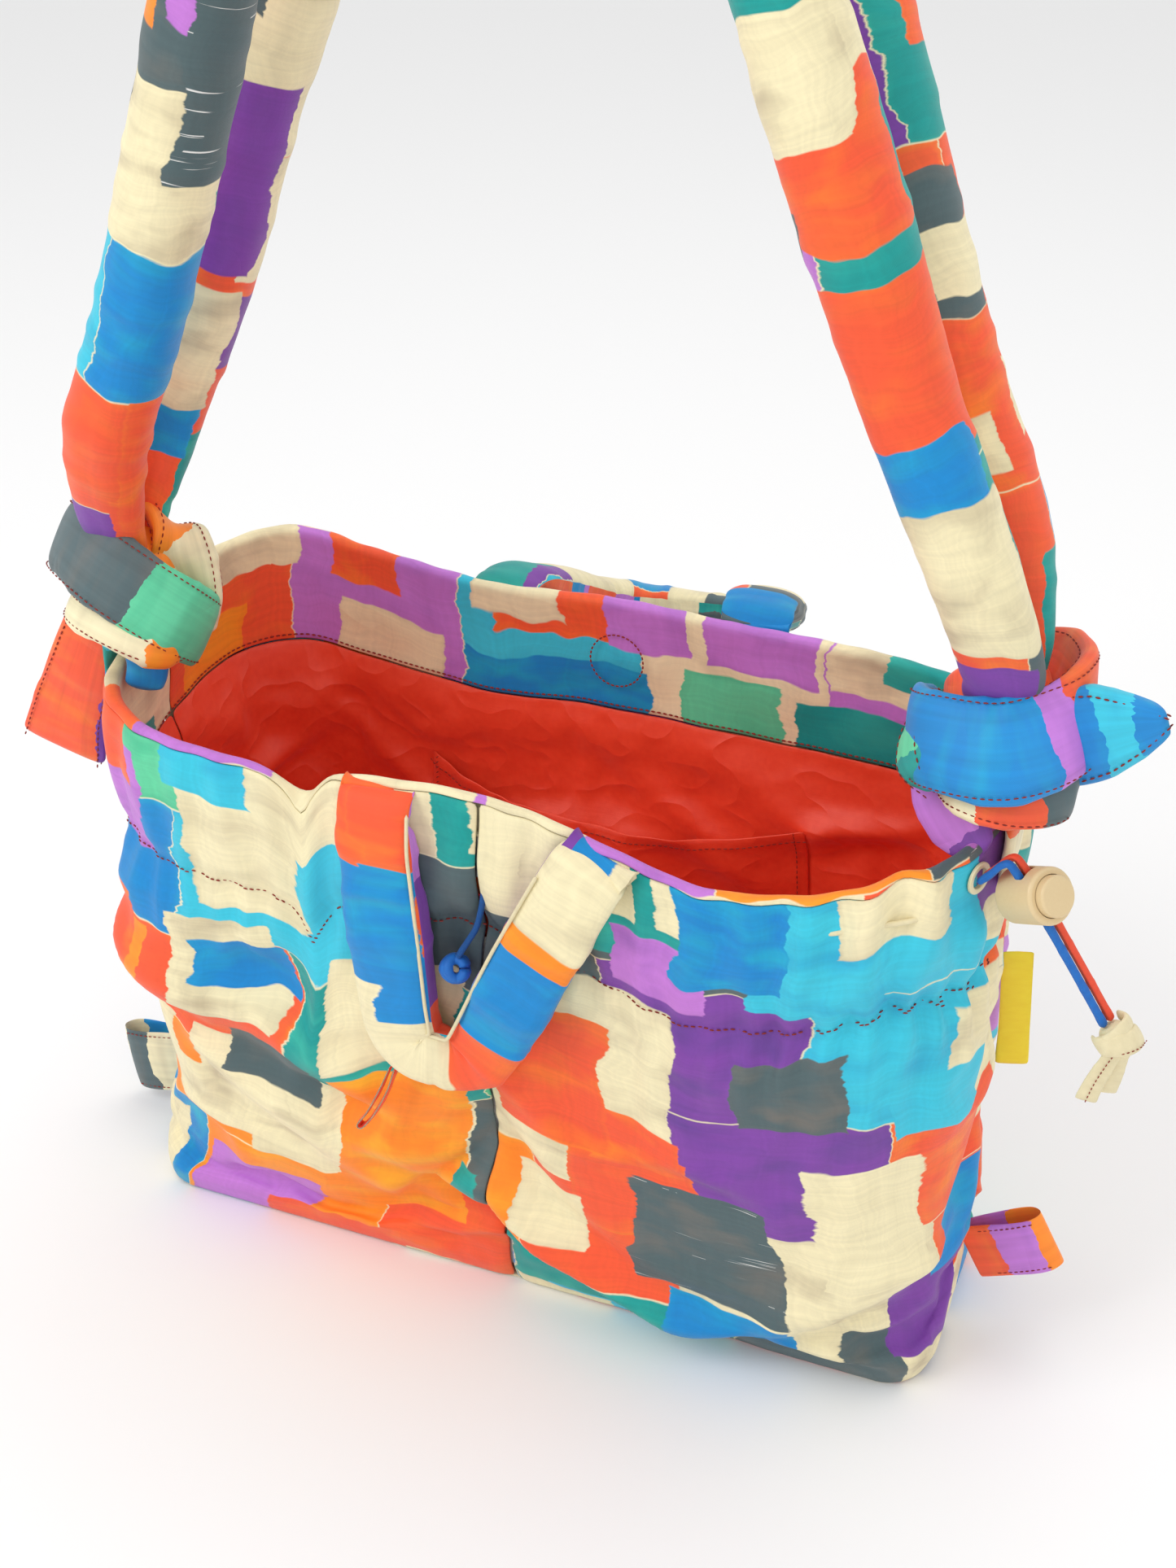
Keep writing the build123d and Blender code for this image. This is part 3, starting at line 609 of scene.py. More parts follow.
# stitches
def stitchTree():   # a run of short stitches along the edges it is given
    tree = bpy.data.node_groups.new("stitchRun", "GeometryNodeTree")
    tree.interface.new_socket(name="Geometry", in_out="INPUT", socket_type="NodeSocketGeometry")
    for label, value in (("Pitch", 0.0028), ("Stitch Length", 0.0021), ("Thread", 0.0006)):
        socket = tree.interface.new_socket(name=label, in_out="INPUT", socket_type="NodeSocketFloat")
        socket.default_value = value
    tree.interface.new_socket(name="Material", in_out="INPUT", socket_type="NodeSocketMaterial")
    tree.interface.new_socket(name="Geometry", in_out="OUTPUT", socket_type="NodeSocketGeometry")
    make, link = tree.nodes.new, tree.links.new
    inp, out = make("NodeGroupInput"), make("NodeGroupOutput")
    curve, spots = make("GeometryNodeMeshToCurve"), make("GeometryNodeCurveToPoints")
    spots.mode = "LENGTH"
    bead, size = make("GeometryNodeMeshUVSphere"), make("ShaderNodeCombineXYZ")
    bead.inputs["Segments"].default_value = 6
    bead.inputs["Rings"].default_value = 4
    bead.inputs["Radius"].default_value = 0.5
    placed, real = make("GeometryNodeInstanceOnPoints"), make("GeometryNodeRealizeInstances")
    smooth, paint = make("GeometryNodeSetShadeSmooth"), make("GeometryNodeSetMaterial")
    link(inp.outputs["Geometry"], curve.inputs[0])
    link(curve.outputs[0], spots.inputs["Curve"])
    link(inp.outputs["Pitch"], spots.inputs["Length"])
    link(inp.outputs["Thread"], size.inputs[0])
    link(inp.outputs["Thread"], size.inputs[1])
    link(inp.outputs["Stitch Length"], size.inputs[2])
    link(spots.outputs["Points"], placed.inputs["Points"])
    link(spots.outputs["Rotation"], placed.inputs["Rotation"])
    link(bead.outputs["Mesh"], placed.inputs["Instance"])
    link(size.outputs[0], placed.inputs["Scale"])
    link(placed.outputs[0], smooth.inputs[0])
    link(smooth.outputs[0], real.inputs[0])
    link(real.outputs[0], paint.inputs["Geometry"])
    link(inp.outputs["Material"], paint.inputs["Material"])
    link(paint.outputs[0], out.inputs[0])
    return tree


stitchRun = stitchTree()


def setInput(modifier, tree, label, value):
    for item in tree.interface.items_tree:
        if item.item_type == "SOCKET" and item.in_out == "INPUT" and item.name == label:
            modifier[item.identifier] = value


def stitches(name, lines, body, pitch=0.0028, length=0.0021, thread=0.0006, material=threadRed):
    verts, edges = [], []
    for line in lines:
        start = len(verts)
        verts += [tuple(p) for p in line]
        edges += [(start + k, start + k + 1) for k in range(len(line) - 1)]
    mesh = bpy.data.meshes.new(name + "Line")
    mesh.from_pydata(verts, edges, [])
    guide = bpy.data.objects.new(name + "Line", mesh)
    scene.collection.objects.link(guide)
    modifier = guide.modifiers.new("Stitches", "NODES")
    modifier.node_group = stitchRun
    for label, value in (("Pitch", pitch), ("Stitch Length", length), ("Thread", thread),
                         ("Material", material)):
        setInput(modifier, stitchRun, label, value)
    made = bpy.data.meshes.new_from_object(guide.evaluated_get(bpy.context.evaluated_depsgraph_get()))
    made.name = name
    if not made.uv_layers:
        made.uv_layers.new(name="UVMap")
    bpy.data.objects.remove(guide)
    thing = bpy.data.objects.new(name, made)
    scene.collection.objects.link(thing)
    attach(thing, body)
    return thing


def edgeLines(path, side, width, depth, inset=0.0022, faces=(1,)):   # lines near both edges of a band
    line, run, knots = along(path, 60)
    along3 = unit(np.gradient(line, axis=0))
    side = np.broadcast_to(np.array(side, float), (len(path), 3))
    across = np.stack([np.interp(run, knots, side[:, k]) for k in range(3)], axis=1)
    across = unit(across - along3 * np.sum(across * along3, axis=1, keepdims=True))
    face = np.cross(along3, across)
    wide = np.interp(run, knots, np.broadcast_to(width, len(path)))[:, None]
    deep = np.interp(run, knots, np.broadcast_to(depth, len(path)))[:, None]
    return [line + across * sign * (wide / 2 - inset) + face * turned * (deep * 0.36 + 0.0005)
            for sign in (1, -1) for turned in faces]


# bag shell
shell = {
    "sections": ((0.0, 0.386, 0.116, 0.022), (0.095, 0.391, 0.146, 0.046), (0.190, 0.387, 0.158, 0.055)),
    "rimHeight": 0.282, "rimSlope": 0.19, "channelDrop": 0.058, "facingDrop": 0.048,
    "side": 5, "corner": 17, "front": 28, "rows": 60,
    "layer": 0.0062,          # outer face to lining face
    "rimPuff": 0.003,
}
quarter = shell["side"] + shell["corner"] + shell["front"]
cols, rows = 4 * quarter, shell["rows"]


def sectionAt(height):   # length, depth and corner radius of the shell at a height
    (z0, *a), (z1, *b), (z2, *c) = shell["sections"]
    h = min(height, z2)
    wa = (h - z1) * (h - z2) / ((z0 - z1) * (z0 - z2))
    wb = (h - z0) * (h - z2) / ((z1 - z0) * (z1 - z2))
    wc = (h - z0) * (h - z1) / ((z2 - z0) * (z2 - z1))
    return [wa * p + wb * q + wc * r for p, q, r in zip(a, b, c)]


def ringAt(height):   # one turn round the shell, from the left seam by the front
    length, depth, radius = sectionAt(height)
    pts = []
    for k in range(shell["side"]):
        pts.append((-length / 2, -(depth / 2 - radius) * k / shell["side"]))
    for k in range(shell["corner"]):
        a = math.pi / 2 * k / shell["corner"]
        pts.append((-length / 2 + radius - radius * math.cos(a),
                    -(depth / 2 - radius) - radius * math.sin(a)))
    for k in range(shell["front"]):
        pts.append((-(length / 2 - radius) * (1 - k / shell["front"]), -depth / 2))
    left = np.array(pts)
    middle = np.array([(0, -depth / 2)])
    right = np.concatenate([middle, left[:0:-1] * (-1, 1)])
    back = np.concatenate([left * (-1, -1), np.array([(0, depth / 2)]), left[:0:-1] * (1, -1)])
    return np.concatenate([left, right, back])


topRing = ringAt(0.2)
stepLength = np.linalg.norm(np.roll(topRing, -1, 0) - topRing, axis=1)
girthRun = np.concatenate([[0], np.cumsum(stepLength)])   # distance round the rim at each column
frontShare = ease(-topRing[:, 1], 0.02, 0.07)
backShare = ease(topRing[:, 1], 0.02, 0.07)
rimKeys = np.array([(-193, 3), (-178, 5), (-150, 3), (-120, 0), (-93, -1), (-85, -8), (-79, -20), (-74, -8),
                    (-66, 3), (-40, 5),
                    (-9, 7), (20, 4), (55, -6), (90, -16), (120, -12), (150, -3), (169, 5), (180, 1),
                    (193, -2)]) / 1000
rimLift = np.interp(topRing[:, 0], rimKeys[:, 0], rimKeys[:, 1]) * frontShare
backKeys = np.array([(-193, 4), (-165, 3), (-130, -6), (-60, -12), (0, -13), (60, -13), (120, -13),
                     (150, -16), (175, -21), (193, -23)]) / 1000
rimLift += np.interp(topRing[:, 0], backKeys[:, 0], backKeys[:, 1]) * ease(topRing[:, 1], -0.012,
    0.05) + backShare * 0.0035 * cloud(np.stack([topRing[:, 0], topRing[:, 1] * 0, topRing[:, 0] * 0], 1),
        0.07, 4)
rim = shell["rimHeight"] + shell["rimSlope"] * topRing[:, 1] + rimLift
climb = np.linspace(0, 1, rows)
outer = np.zeros((rows, cols, 3))
for r, share in enumerate(climb):
    heights = share * rim
    for c in range(cols):
        outer[r, c, 2] = heights[c]
    outer[r, :, :2] = ringAt(float(share * 0.282))
run = np.broadcast_to(girthRun[None, :-1], (rows, cols))
rise = climb[:, None] * rim[None]
below = rim[None] - rise   # distance below the rim


def gridNormals(points):
    around = np.roll(points, -1, 1) - np.roll(points, 1, 1)
    up = np.gradient(points, axis=0)
    return unit(np.cross(around, up))


level = unit(gridNormals(outer) * (1, 1, 0))
xx, zz = outer[..., 0], outer[..., 2]
front = (outer[..., 1] < 0) * 1.0
flat = np.stack([run, rise, np.zeros_like(run)], axis=-1)
seam = shell["channelDrop"]
relief = {"puff": 0.0065, "puffMiddle": 0.028, "puffSpread": 0.022, "seamDip": 0.0048, "underSeam": 0.0036,
          "gather": 0.0010, "endGather": 0.0048, "gatherPitch": 0.0150, "rimWave": 0.0010,
          "endRimWave": 0.0034,
          "rimPitch": 0.021, "sag": 0.0030, "ridges": 0.0048, "seamPull": 0.0014, "basePull": 0.0028}
push = np.zeros((rows, cols))
push += relief["puff"] * bump(below, relief["puffMiddle"], relief["puffSpread"])   # the channel swells
push -= relief["seamDip"] * bump(below, seam, 0.005)
push += relief["underSeam"] * bump(below, seam + 0.022, 0.018)
rightEnd = ease(xx, 0.10, 0.17) * ease(-outer[..., 1], -0.03, 0.02)
gather = np.sin(run / relief["gatherPitch"] * 2 * np.pi + 1.3 * cloud(flat, 0.03, 2))
push += gather * (relief["gather"] + relief["endGather"] * rightEnd) * bump(below, seam + 0.004, 0.020)
rimWave = np.sin(run / relief["rimPitch"] * 2 * np.pi + 2 * cloud(flat, 0.05, 3))
push += rimWave * (relief["rimWave"] + relief["endRimWave"] * rightEnd) * bump(below, 0.012, 0.03)


def crease(a, b, width, amount, overhang=0.0):   # a fold line across the front from a to b, as (x, z)
    (ax, az), (bx, bz) = a, b
    dx, dz = bx - ax, bz - az
    size = math.hypot(dx, dz)
    t = ((xx - ax) * dx + (zz - az) * dz) / size ** 2
    off = ((zz - az) * dx - (xx - ax) * dz) / size
    within = ease(t, -0.12, 0.1) * (1 - ease(t, 0.85, 1.15)) * front
    shape = bump(off, 0, width) + overhang * (bump(off, 1.3 * width, 1.4 * width) - 0.8
        * bump(off, -1.1 * width, 1.2 * width))
    return amount * shape * within


for fromPoint, toPoint, width, amount, overhang in (
        ((-0.195, 0.158), (-0.050, 0.112), 0.009, 0.0046, 2.4),
        ((-0.190, 0.196), (-0.100, 0.180), 0.007, 0.0030, 0.8),
        ((-0.150, 0.120), (-0.040, 0.050), 0.010, 0.0052, 0.9),
        ((-0.060, 0.090), (0.080, 0.030), 0.008, 0.0056, 1.1),
        ((-0.020, 0.066), (0.110, 0.014), 0.007, 0.0050, 1.0),
        ((0.070, 0.016), (0.135, 0.040), 0.006, 0.0046, 0.9),
        ((0.130, 0.040), (0.195, 0.085), 0.007, 0.0046, 0.9),
        ((0.060, 0.190), (0.190, 0.150), 0.010, 0.0030, 0.8),
        ((0.000, 0.150), (0.120, 0.120), 0.009, 0.0024, 0.8),
        ((-0.030, 0.170), (0.030, 0.100), 0.008, 0.0024, 0.8)):
    push += crease(fromPoint, toPoint, width, amount, overhang)
slant = np.stack([run * 0.55 + rise * 0.35, rise * 1.1 - run * 0.25, 0 * run], axis=-1)
calm = ease(rise, 0.0, 0.03) * ease(below, 0.0, 0.02)
push += relief["sag"] * cloud(flat, 0.075, 11) * calm
push += relief["ridges"] * (fold(slant, 0.036, 12, 1.7) - 0.25) * calm * ease(below, 0.04, 0.09)
sewn = bump(run, girthRun[quarter], 0.0035) + bump(run, girthRun[2 * quarter], 0.0035) + bump(run,
    girthRun[0], 0.0035)
sewn = np.minimum(1, sewn + bump(run, girthRun[-1], 0.0035))
push -= relief["seamPull"] * sewn * ease(below, 0.0, 0.01)
nearEyelet = np.linalg.norm(outer - np.array([0.1893, -0.045, 0.2635]), axis=-1)
nearTab = np.minimum(np.linalg.norm(outer - np.array([0.1935, -0.02, 0.272]), axis=-1),
                     np.linalg.norm(outer - np.array([-0.1935, -0.02, 0.272]), axis=-1))
push *= ease(nearEyelet, 0.006, 0.022) * (0.25 + 0.75 * ease(nearTab, 0.015, 0.04))
outer += level * push[..., None]
bottomPull = bump(rise, 0.0, 0.006)
outer -= level * (bottomPull * relief["basePull"])[..., None]


clothFeel = {"quality": 5, "mass": 0.25, "tension_stiffness": 12, "compression_stiffness": 12,
             "shear_stiffness": 6,
             "bending_stiffness": 0.35, "uniform_pressure_force": 0.6}
mostMove = 0.009


def settle(points, frames, slack):   # lets the cloth find its own folds between the sewn edges
    thing = gridObject("shellCloth", points, np.zeros((rows, cols + 1, 2)), liningRed, wrap=True)
    hold = thing.vertex_groups.new(name="hold")
    still = np.clip(1 - ease(rise, 0.003, 0.03) * ease(below, 0.004, 0.018)
                    * (1 - 0.35 * bump(below, seam, 0.004))
                    * (1 - 0.5 * sewn) * ease(nearEyelet, 0.01, 0.03), 0, 1).ravel()
    for k, weight in enumerate(still):
        if weight > 0.01:
            hold.add([k], float(weight), "REPLACE")
    cloth = thing.modifiers.new("Cloth", "CLOTH")
    for label, value in clothFeel.items():
        setattr(cloth.settings, label, value)
    cloth.settings.vertex_group_mass = "hold"
    cloth.settings.shrink_min = -slack
    cloth.settings.use_pressure = True
    cloth.settings.effector_weights.gravity = 0.6
    cloth.collision_settings.use_collision = False
    cloth.point_cache.frame_start, cloth.point_cache.frame_end = 1, frames
    for number in range(1, frames + 1):
        scene.frame_set(number)
    shape = thing.evaluated_get(bpy.context.evaluated_depsgraph_get()).to_mesh()
    flatList = np.zeros(rows * cols * 3)
    shape.vertices.foreach_get("co", flatList)
    thing.evaluated_get(bpy.context.evaluated_depsgraph_get()).to_mesh_clear()
    bpy.data.objects.remove(thing)
    scene.frame_set(1)
    moved = flatList.reshape(points.shape) - points
    size = np.linalg.norm(moved, axis=-1, keepdims=True)
    print("cloth moved, mm: mean", round(float(size.mean() * 1000), 2), "most",
          round(float(size.max() * 1000), 2))
    return points + moved * np.minimum(1, mostMove / np.maximum(size, 1e-9))


outer = settle(outer, 22, 0.045)
outer[..., 2] = np.maximum(outer[..., 2], 0.0)
outNormal = gridNormals(outer)
print("shell shaped")


def strip(name, points, columns, material, vRun, uShift=0.0):   # part of the shell between two seams
    picked = points[:, columns % cols]
    uv = np.stack(np.broadcast_arrays(girthRun[columns] + uShift, vRun[:, None]), axis=-1)
    return gridObject(name, picked, uv, material)


upRun = climb * 0.285
panelColumns = {
    "frontLeftPanel": (np.arange(0, quarter + 1), leftPrint, ("front_left_panel",)),
    "frontRightPanel": (np.arange(quarter, 2 * quarter + 1), rightPrint, ("front_right_panel",)),
    "backPanel": (np.arange(2 * quarter, 4 * quarter + 1), backPrint, ("back_panel",)),
}
for name, (columns, material, stands) in panelColumns.items():
    panel = strip(name, outer, columns, material, upRun)
    thicken(panel, 0.0014, -1)
    soften(panel)
    dress(panel, "print_fabric", "bag", *stands)

# base, drawn in rings from the bottom edge
shrink = np.linspace(1, 0.04, 9)
ringPoints = np.array([outer[0] * (s, s, 1) for s in shrink])
ringPoints[1:, :, 2] = 0.0003 + 0.0006 * (1 - shrink[1:, None])
baseUv = np.concatenate([ringPoints[..., :2], ringPoints[:, :1, :2]], axis=1)
basePanel = gridObject("basePanel", ringPoints[::-1], baseUv[::-1], backPrint, wrap=True, caps=False)
thicken(basePanel, 0.0013, -1)
soften(basePanel)
dress(basePanel, "print_fabric", "bag", "base_panel")

# inner face of the wall, softer than the outer one
inward = smoothRows(outer, 5)
inNormal = gridNormals(inward)
inside = {"folds": 0.0105, "least": 0.0050, "paddingDepth": 0.0029, "facingWave": 0.0012, "facingLip": 0.0016}
gap = shell["layer"] + 0.002 * bump(below, 0.028, 0.02)
inner = inward - inNormal * gap[..., None]
lean = np.stack([run * 0.8 - rise * 0.7, rise * 0.9 + run * 0.25, 0 * run], axis=-1)
crumpled = fold(lean * (0.55, 1.5, 1), 0.048, 31, 1.3) + 0.6 * fold(lean * (1.3, 0.6, 1), 0.032, 35, 1.5)
inner -= inNormal * (inside["folds"] * (crumpled - 0.22) * ease(below, 0.050, 0.085)
                     * ease(rise, 0.01, 0.05))[..., None]
inner -= inNormal * (inside["facingWave"] * cloud(flat, 0.022, 37) * ease(below, 0.004, 0.02))[..., None]
inner -= inNormal * (inside["facingLip"] * bump(below, 0.062, 0.008)
                     * (0.6 + 0.4 * cloud(flat, 0.06, 33)))[..., None]
room = np.sum((outer - inner) * inNormal, axis=-1)
inner -= inNormal * np.maximum(0, inside["least"] - room)[..., None]   # keeps its distance under deep folds
filler = 0.5 * inward + 0.5 * inner
filler -= inNormal * np.maximum(0, inside["paddingDepth"]
                                - np.sum((outer - filler) * inNormal, axis=-1))[..., None]
lip = inner[-1]
edge = outer[-1]
middle = (lip + edge) / 2
roll = []
for k in range(1, 6):
    a = math.pi * k / 6
    roll.append(middle + (edge - middle) * math.cos(a) + np.array([0, 0, shell["rimPuff"]]) * math.sin(a))
facingRow = rows - 1 - np.round(shell["facingDrop"] / (0.282 / (rows - 1))).astype(int)
facingGrid = np.concatenate([edge[None], roll, lip[None], inner[rows - 2:facingRow - 1:-1]])
facingRun = np.concatenate([[0], np.cumsum(np.linalg.norm(np.diff(facingGrid, axis=0), axis=2).mean(1))])
liningGrid = inner[facingRow:0:-1]   # the wall lining stops just above the base lining
liningRun = np.concatenate([[0], np.cumsum(np.linalg.norm(np.diff(liningGrid, axis=0), axis=2).mean(1))])
half = {"front": np.arange(0, 2 * quarter + 1), "back": np.arange(2 * quarter, 4 * quarter + 1)}
for end, columns in half.items():
    facing = strip(end + "Facing", facingGrid, columns, facingPrint, facingRun, 0.4 if end == "back" else 0.0)
    thicken(facing, 0.0011, -1)
    soften(facing)
    dress(facing, "print_fabric", "bag", end + "_facing")
    lining = strip(end + "Lining", liningGrid, columns, liningRed, liningRun)
    thicken(lining, 0.0009, -1)
    soften(lining)
    dress(lining, "lining_fabric", "bag", end + "_lining")
    wadding = strip(end + "Wadding", filler[2:facingRow - 3], columns, paddingFinish, upRun[2:facingRow - 3])
    thicken(wadding, 0.0016, 0)
    dress(wadding, "wadding", "bag", end + "_wadding")

floorRing = liningGrid[-1]
floorPoints = np.array([floorRing * (s, s, 1) for s in np.linspace(1, 0.04, 11)])
floorPoints[1:, :, 2] = 0.0048 + 0.0008 * cloud(floorPoints[1:] * (1, 1, 0), 0.05, 41)
floorUv = np.concatenate([floorPoints[..., :2], floorPoints[:, :1, :2]], axis=1)
baseLining = gridObject("baseLining", floorPoints, floorUv, liningRed, wrap=True)
thicken(baseLining, 0.0009, -1)
soften(baseLining)
dress(baseLining, "lining_fabric", "bag", "base_lining")

# topstitching
def shellLine(row, columns, lift, surface, normal):
    row = np.clip(row, 0, rows - 1.001)
    low = np.floor(row).astype(int)
    part = (row - low)[:, None]
    c = columns % cols
    spot = surface[low, c] * (1 - part) + surface[low + 1, c] * part
    out = normal[low, c] * (1 - part) + normal[low + 1, c] * part
    return spot + unit(out) * lift


allColumns = np.arange(0, 4 * quarter + 1)
rowStep = rim / (rows - 1)
channelRow = (rim - seam) / rowStep
stitches("channelStitches", [shellLine(channelRow[allColumns % cols], allColumns, 0.0005, outer,
    outNormal)], "bag", thread=0.0008)
facingSeamRow = np.full(4 * quarter + 1, facingRow + 0.45)
stitches("facingStitches", [shellLine(facingSeamRow, allColumns, -0.0007, inner, inNormal)], "bag",
         thread=0.0009)
print("panels, facing and lining made")

# patch pocket on the back lining
pocket = {"width": 0.202, "bottom": 0.092, "top": 0.204, "bulge": 0.019, "sag": 0.012}
backX = inner[rows // 2, :, 0]
pocketColumns = np.array([c for c in range(2 * quarter, 4 * quarter) if abs(backX[c]) <= pocket["width"] / 2])
tall = 22
shareUp = np.linspace(0, 1, tall)
pocketGrid = np.zeros((tall, len(pocketColumns), 3))
acrossShare = np.linspace(-1, 1, len(pocketColumns))
for r, share in enumerate(shareUp):
    height = pocket["bottom"] + (pocket["top"] - pocket["bottom"] - pocket["sag"] * (1 - acrossShare ** 2)
                                 * share) * share
    rowAt = height / rowStep[pocketColumns]
    lift = -(0.0014 + pocket["bulge"] * share ** 2 * (1 - np.abs(acrossShare) ** 3))
    pocketGrid[r] = shellLine(rowAt, pocketColumns, 0, inner, inNormal) + inNormal[30,
        pocketColumns] * np.asarray(lift)[:, None]
pocketUv = np.stack([np.broadcast_to(acrossShare * 0.1, pocketGrid.shape[:2]),
                     np.broadcast_to(shareUp[:, None] * 0.11, pocketGrid.shape[:2])], axis=-1)
pocketPiece = gridObject("patchPocket", pocketGrid, pocketUv, liningRed)
thicken(pocketPiece, 0.0011, 1)
soften(pocketPiece)
dress(pocketPiece, "lining_fabric", "bag", "inner_pocket")
nearSide = pocketGrid - inNormal[30, pocketColumns][None] * 0.0012
pocketEdge = np.concatenate([nearSide[::-1, 1], nearSide[1, 1:-1], nearSide[:, -2]])
stitches("pocketStitches", [pocketEdge, nearSide[-2]], "bag", thread=0.0006)

# snap outline on the back facing
ringSpot = np.argmin(np.abs(outer[rows - 6, 2 * quarter:, 0])) + 2 * quarter
ringCentre = inner[rows - 6, ringSpot] - inNormal[rows - 6, ringSpot] * 0.0013
acrossDir = unit(inner[rows - 6, ringSpot + 1] - inner[rows - 6, ringSpot - 1])
upDir = unit(inner[rows - 5, ringSpot] - inner[rows - 7, ringSpot])
turn = np.linspace(0, 2 * np.pi, 49)
stitches("snapStitches", [ringCentre + 0.0125
                          * (np.cos(turn)[:, None] * acrossDir + np.sin(turn)[:, None] * upDir)], "bag",
         pitch=0.0022, length=0.0018, thread=0.0009)
for name, stands, column in (("snapStud", "snap_stud", quarter),
                             ("snapSocket", "snap_socket", int(ringSpot))):
    spot = (outer[rows - 6, column] + inner[rows - 6, column]) / 2
    axis = inNormal[rows - 6, column]
    disc = softBand(name, [spot - axis * 0.0010, spot, spot + axis * 0.0010],
                    unit(np.cross(axis, (0, 0, 1))), 0.018, 0.018, steelFinish,
                    {"steps": 12, "around": 40, "square": 2.0, "endRound": 0.0003, "finer": 0})
    dress(disc, "snap_steel", "bag", stands)
print("pocket and stitching made")


# shoulder straps
strap = {"knotY": -0.020, "offset": 0.019, "height": 0.310, "lean": 3.0, "foot": 0.187, "lift": 0.036,
         "tied": 0.0055, "tiedUpTo": 0.008,
         "freeFrom": 0.082}   # side offset inside the knot, and where it ends


def strapPath(side):
    lean = math.radians(strap["lean"])
    leg = [(-0.187, 0.008), (-0.1875, 0.020), (-strap["foot"] + 0.0005, strap["lift"] + 0.004),
           (-0.1745, 0.080), (-0.150, 0.135), (-0.115, 0.2285),
           (-0.0865, 0.3045), (-0.071, 0.346), (-0.052, 0.380), (-0.026, 0.3975), (0.0, 0.4022)]
    flatPath = leg + [(-x, h) for x, h in leg[-2::-1]]
    path = []
    for x, h in flatPath:
        pull = float(ease(np.array(h), strap["tiedUpTo"], strap["freeFrom"]))
        y = strap["knotY"] + side * (strap["tied"] + (strap["offset"] - strap["tied"])
            * pull) + side * max(h, 0) * math.sin(lean)
        path.append((x, y, strap["height"] + h * math.cos(lean)))
    return path


for name, side in (("front", -1), ("rear", 1)):
    path = strapPath(side)
    deepEnd, wideEnd = [0.011, 0.013, 0.021, 0.034, 0.0365], [0.022, 0.026, 0.032, 0.0355, 0.0365]
    middleSizes = [0.0375] * (len(path) - 10)
    tube = softBand(name + "Strap", path, (0, 1, 0), deepEnd + middleSizes + deepEnd[::-1],
                    wideEnd + middleSizes + wideEnd[::-1], strapPrint, {
        "steps": 300, "around": 28, "square": 2.1, "endRound": 0.012, "groove": 0.0006, "crease": 0.0016,
        "seed": side,
        "wrinkles": [(0.05, 1.4, 0.0014, 51 + side, False), (0.016, 3.2, 0.0011, 53 + side, True),
                     (0.009, 2.2, 0.0004, 57 + side, True)],
        "uv": (0.0, 0.6 + 0.37 * side)})
    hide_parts(name + "_strap_cover", name + "_strap_filling")
    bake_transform(tube)
print("shoulder straps made")

# grab handles
frontHandlePath = [(-0.043, -0.0765, 0.2690), (-0.0425, -0.0815, 0.2715), (-0.0415, -0.0875, 0.258),
                   (-0.037, -0.0885, 0.204),
                   (-0.0335, -0.0885, 0.164), (-0.0285, -0.0885, 0.1525), (-0.0175, -0.0885, 0.1505),
                   (-0.0050, -0.0885, 0.1515),
                   (0.0045, -0.0885, 0.161), (0.024, -0.0885, 0.205), (0.0445, -0.0875, 0.248),
                   (0.052, -0.0815, 0.2610),
                   (0.0535, -0.0765, 0.2590)]
frontSides = [(1, 0, 0)] * 3 + [(1, 0, 0.05)] * 2 + [(0.6, 0, 0.8), (0.05, 0, 1), (-0.4, 0, 0.9),
    (-0.8, 0, 0.5)] + [(-1, 0, 0.4)] * 4
frontWide = [0.033, 0.034, 0.034, 0.034, 0.033, 0.033, 0.030, 0.033, 0.033, 0.034, 0.034, 0.034, 0.033]
frontDeep = [0.003, 0.005, 0.013, 0.016, 0.016, 0.015, 0.0145, 0.015, 0.016, 0.016, 0.013, 0.005, 0.003]
frontHandle = softBand("frontHandle", frontHandlePath, frontSides, frontWide, frontDeep, gripPrint, {
    "steps": 190, "around": 28, "square": 3.0, "endRound": 0.003, "flatEnd": 0.9, "groove": 0.0012,
    "crease": 0.0050, "creaseSize": 0.013,
    "wrinkles": [(0.04, 1.3, 0.0016, 61, False), (0.014, 2.6, 0.0014, 63, True)], "uv": (0.0, 0.05)})
pipingLine = edgeLines(frontHandlePath, frontSides, frontWide, frontDeep, 0.0012)[0]
frontPiping = softBand("frontHandlePiping", pipingLine[3:-3:3], (0, 1, 0), 0.0016, 0.0016, creamCloth,
                       {"steps": 160, "around": 8, "square": 2.0, "endRound": 0.001, "finer": 0})
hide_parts("front_handle_cover", "front_handle_filling")
rearLevel, rearFall = math.cos(math.radians(29)), math.sin(math.radians(29))
rearPoints = [(-0.066, -0.009, 0.0), (-0.0655, -0.003, 0.001), (-0.063, 0.014, 0.002),
              (-0.056, 0.055, 0.002), (-0.047, 0.083, 0.001), (-0.030, 0.098, 0.0),
              (-0.002, 0.104, 0.0), (0.028, 0.101, 0.0), (0.046, 0.086, 0.001), (0.056, 0.060, 0.002),
              (0.063, 0.014, 0.002), (0.0655, -0.003, 0.001),
              (0.066, -0.009, 0.0)]
rearPath = [(x * 0.92, 0.088 + rearLevel * v + rearFall * n,
             0.2935 - 0.005 * (1 - x / 0.066) - rearFall * v + rearLevel * n) for x, v, n in rearPoints]
for end, inwards in ((0, 1), (-1, -2)):   # the roots come out of the rim's top edge
    rearPath[end] = (rearPath[end][0], 0.0785, 0.2780 + 0.004 * rearPath[end][0] / 0.06)
    rearPath[inwards] = (rearPath[inwards][0], 0.0850, 0.2845 + 0.004 * rearPath[end][0] / 0.06)
rearSide = []
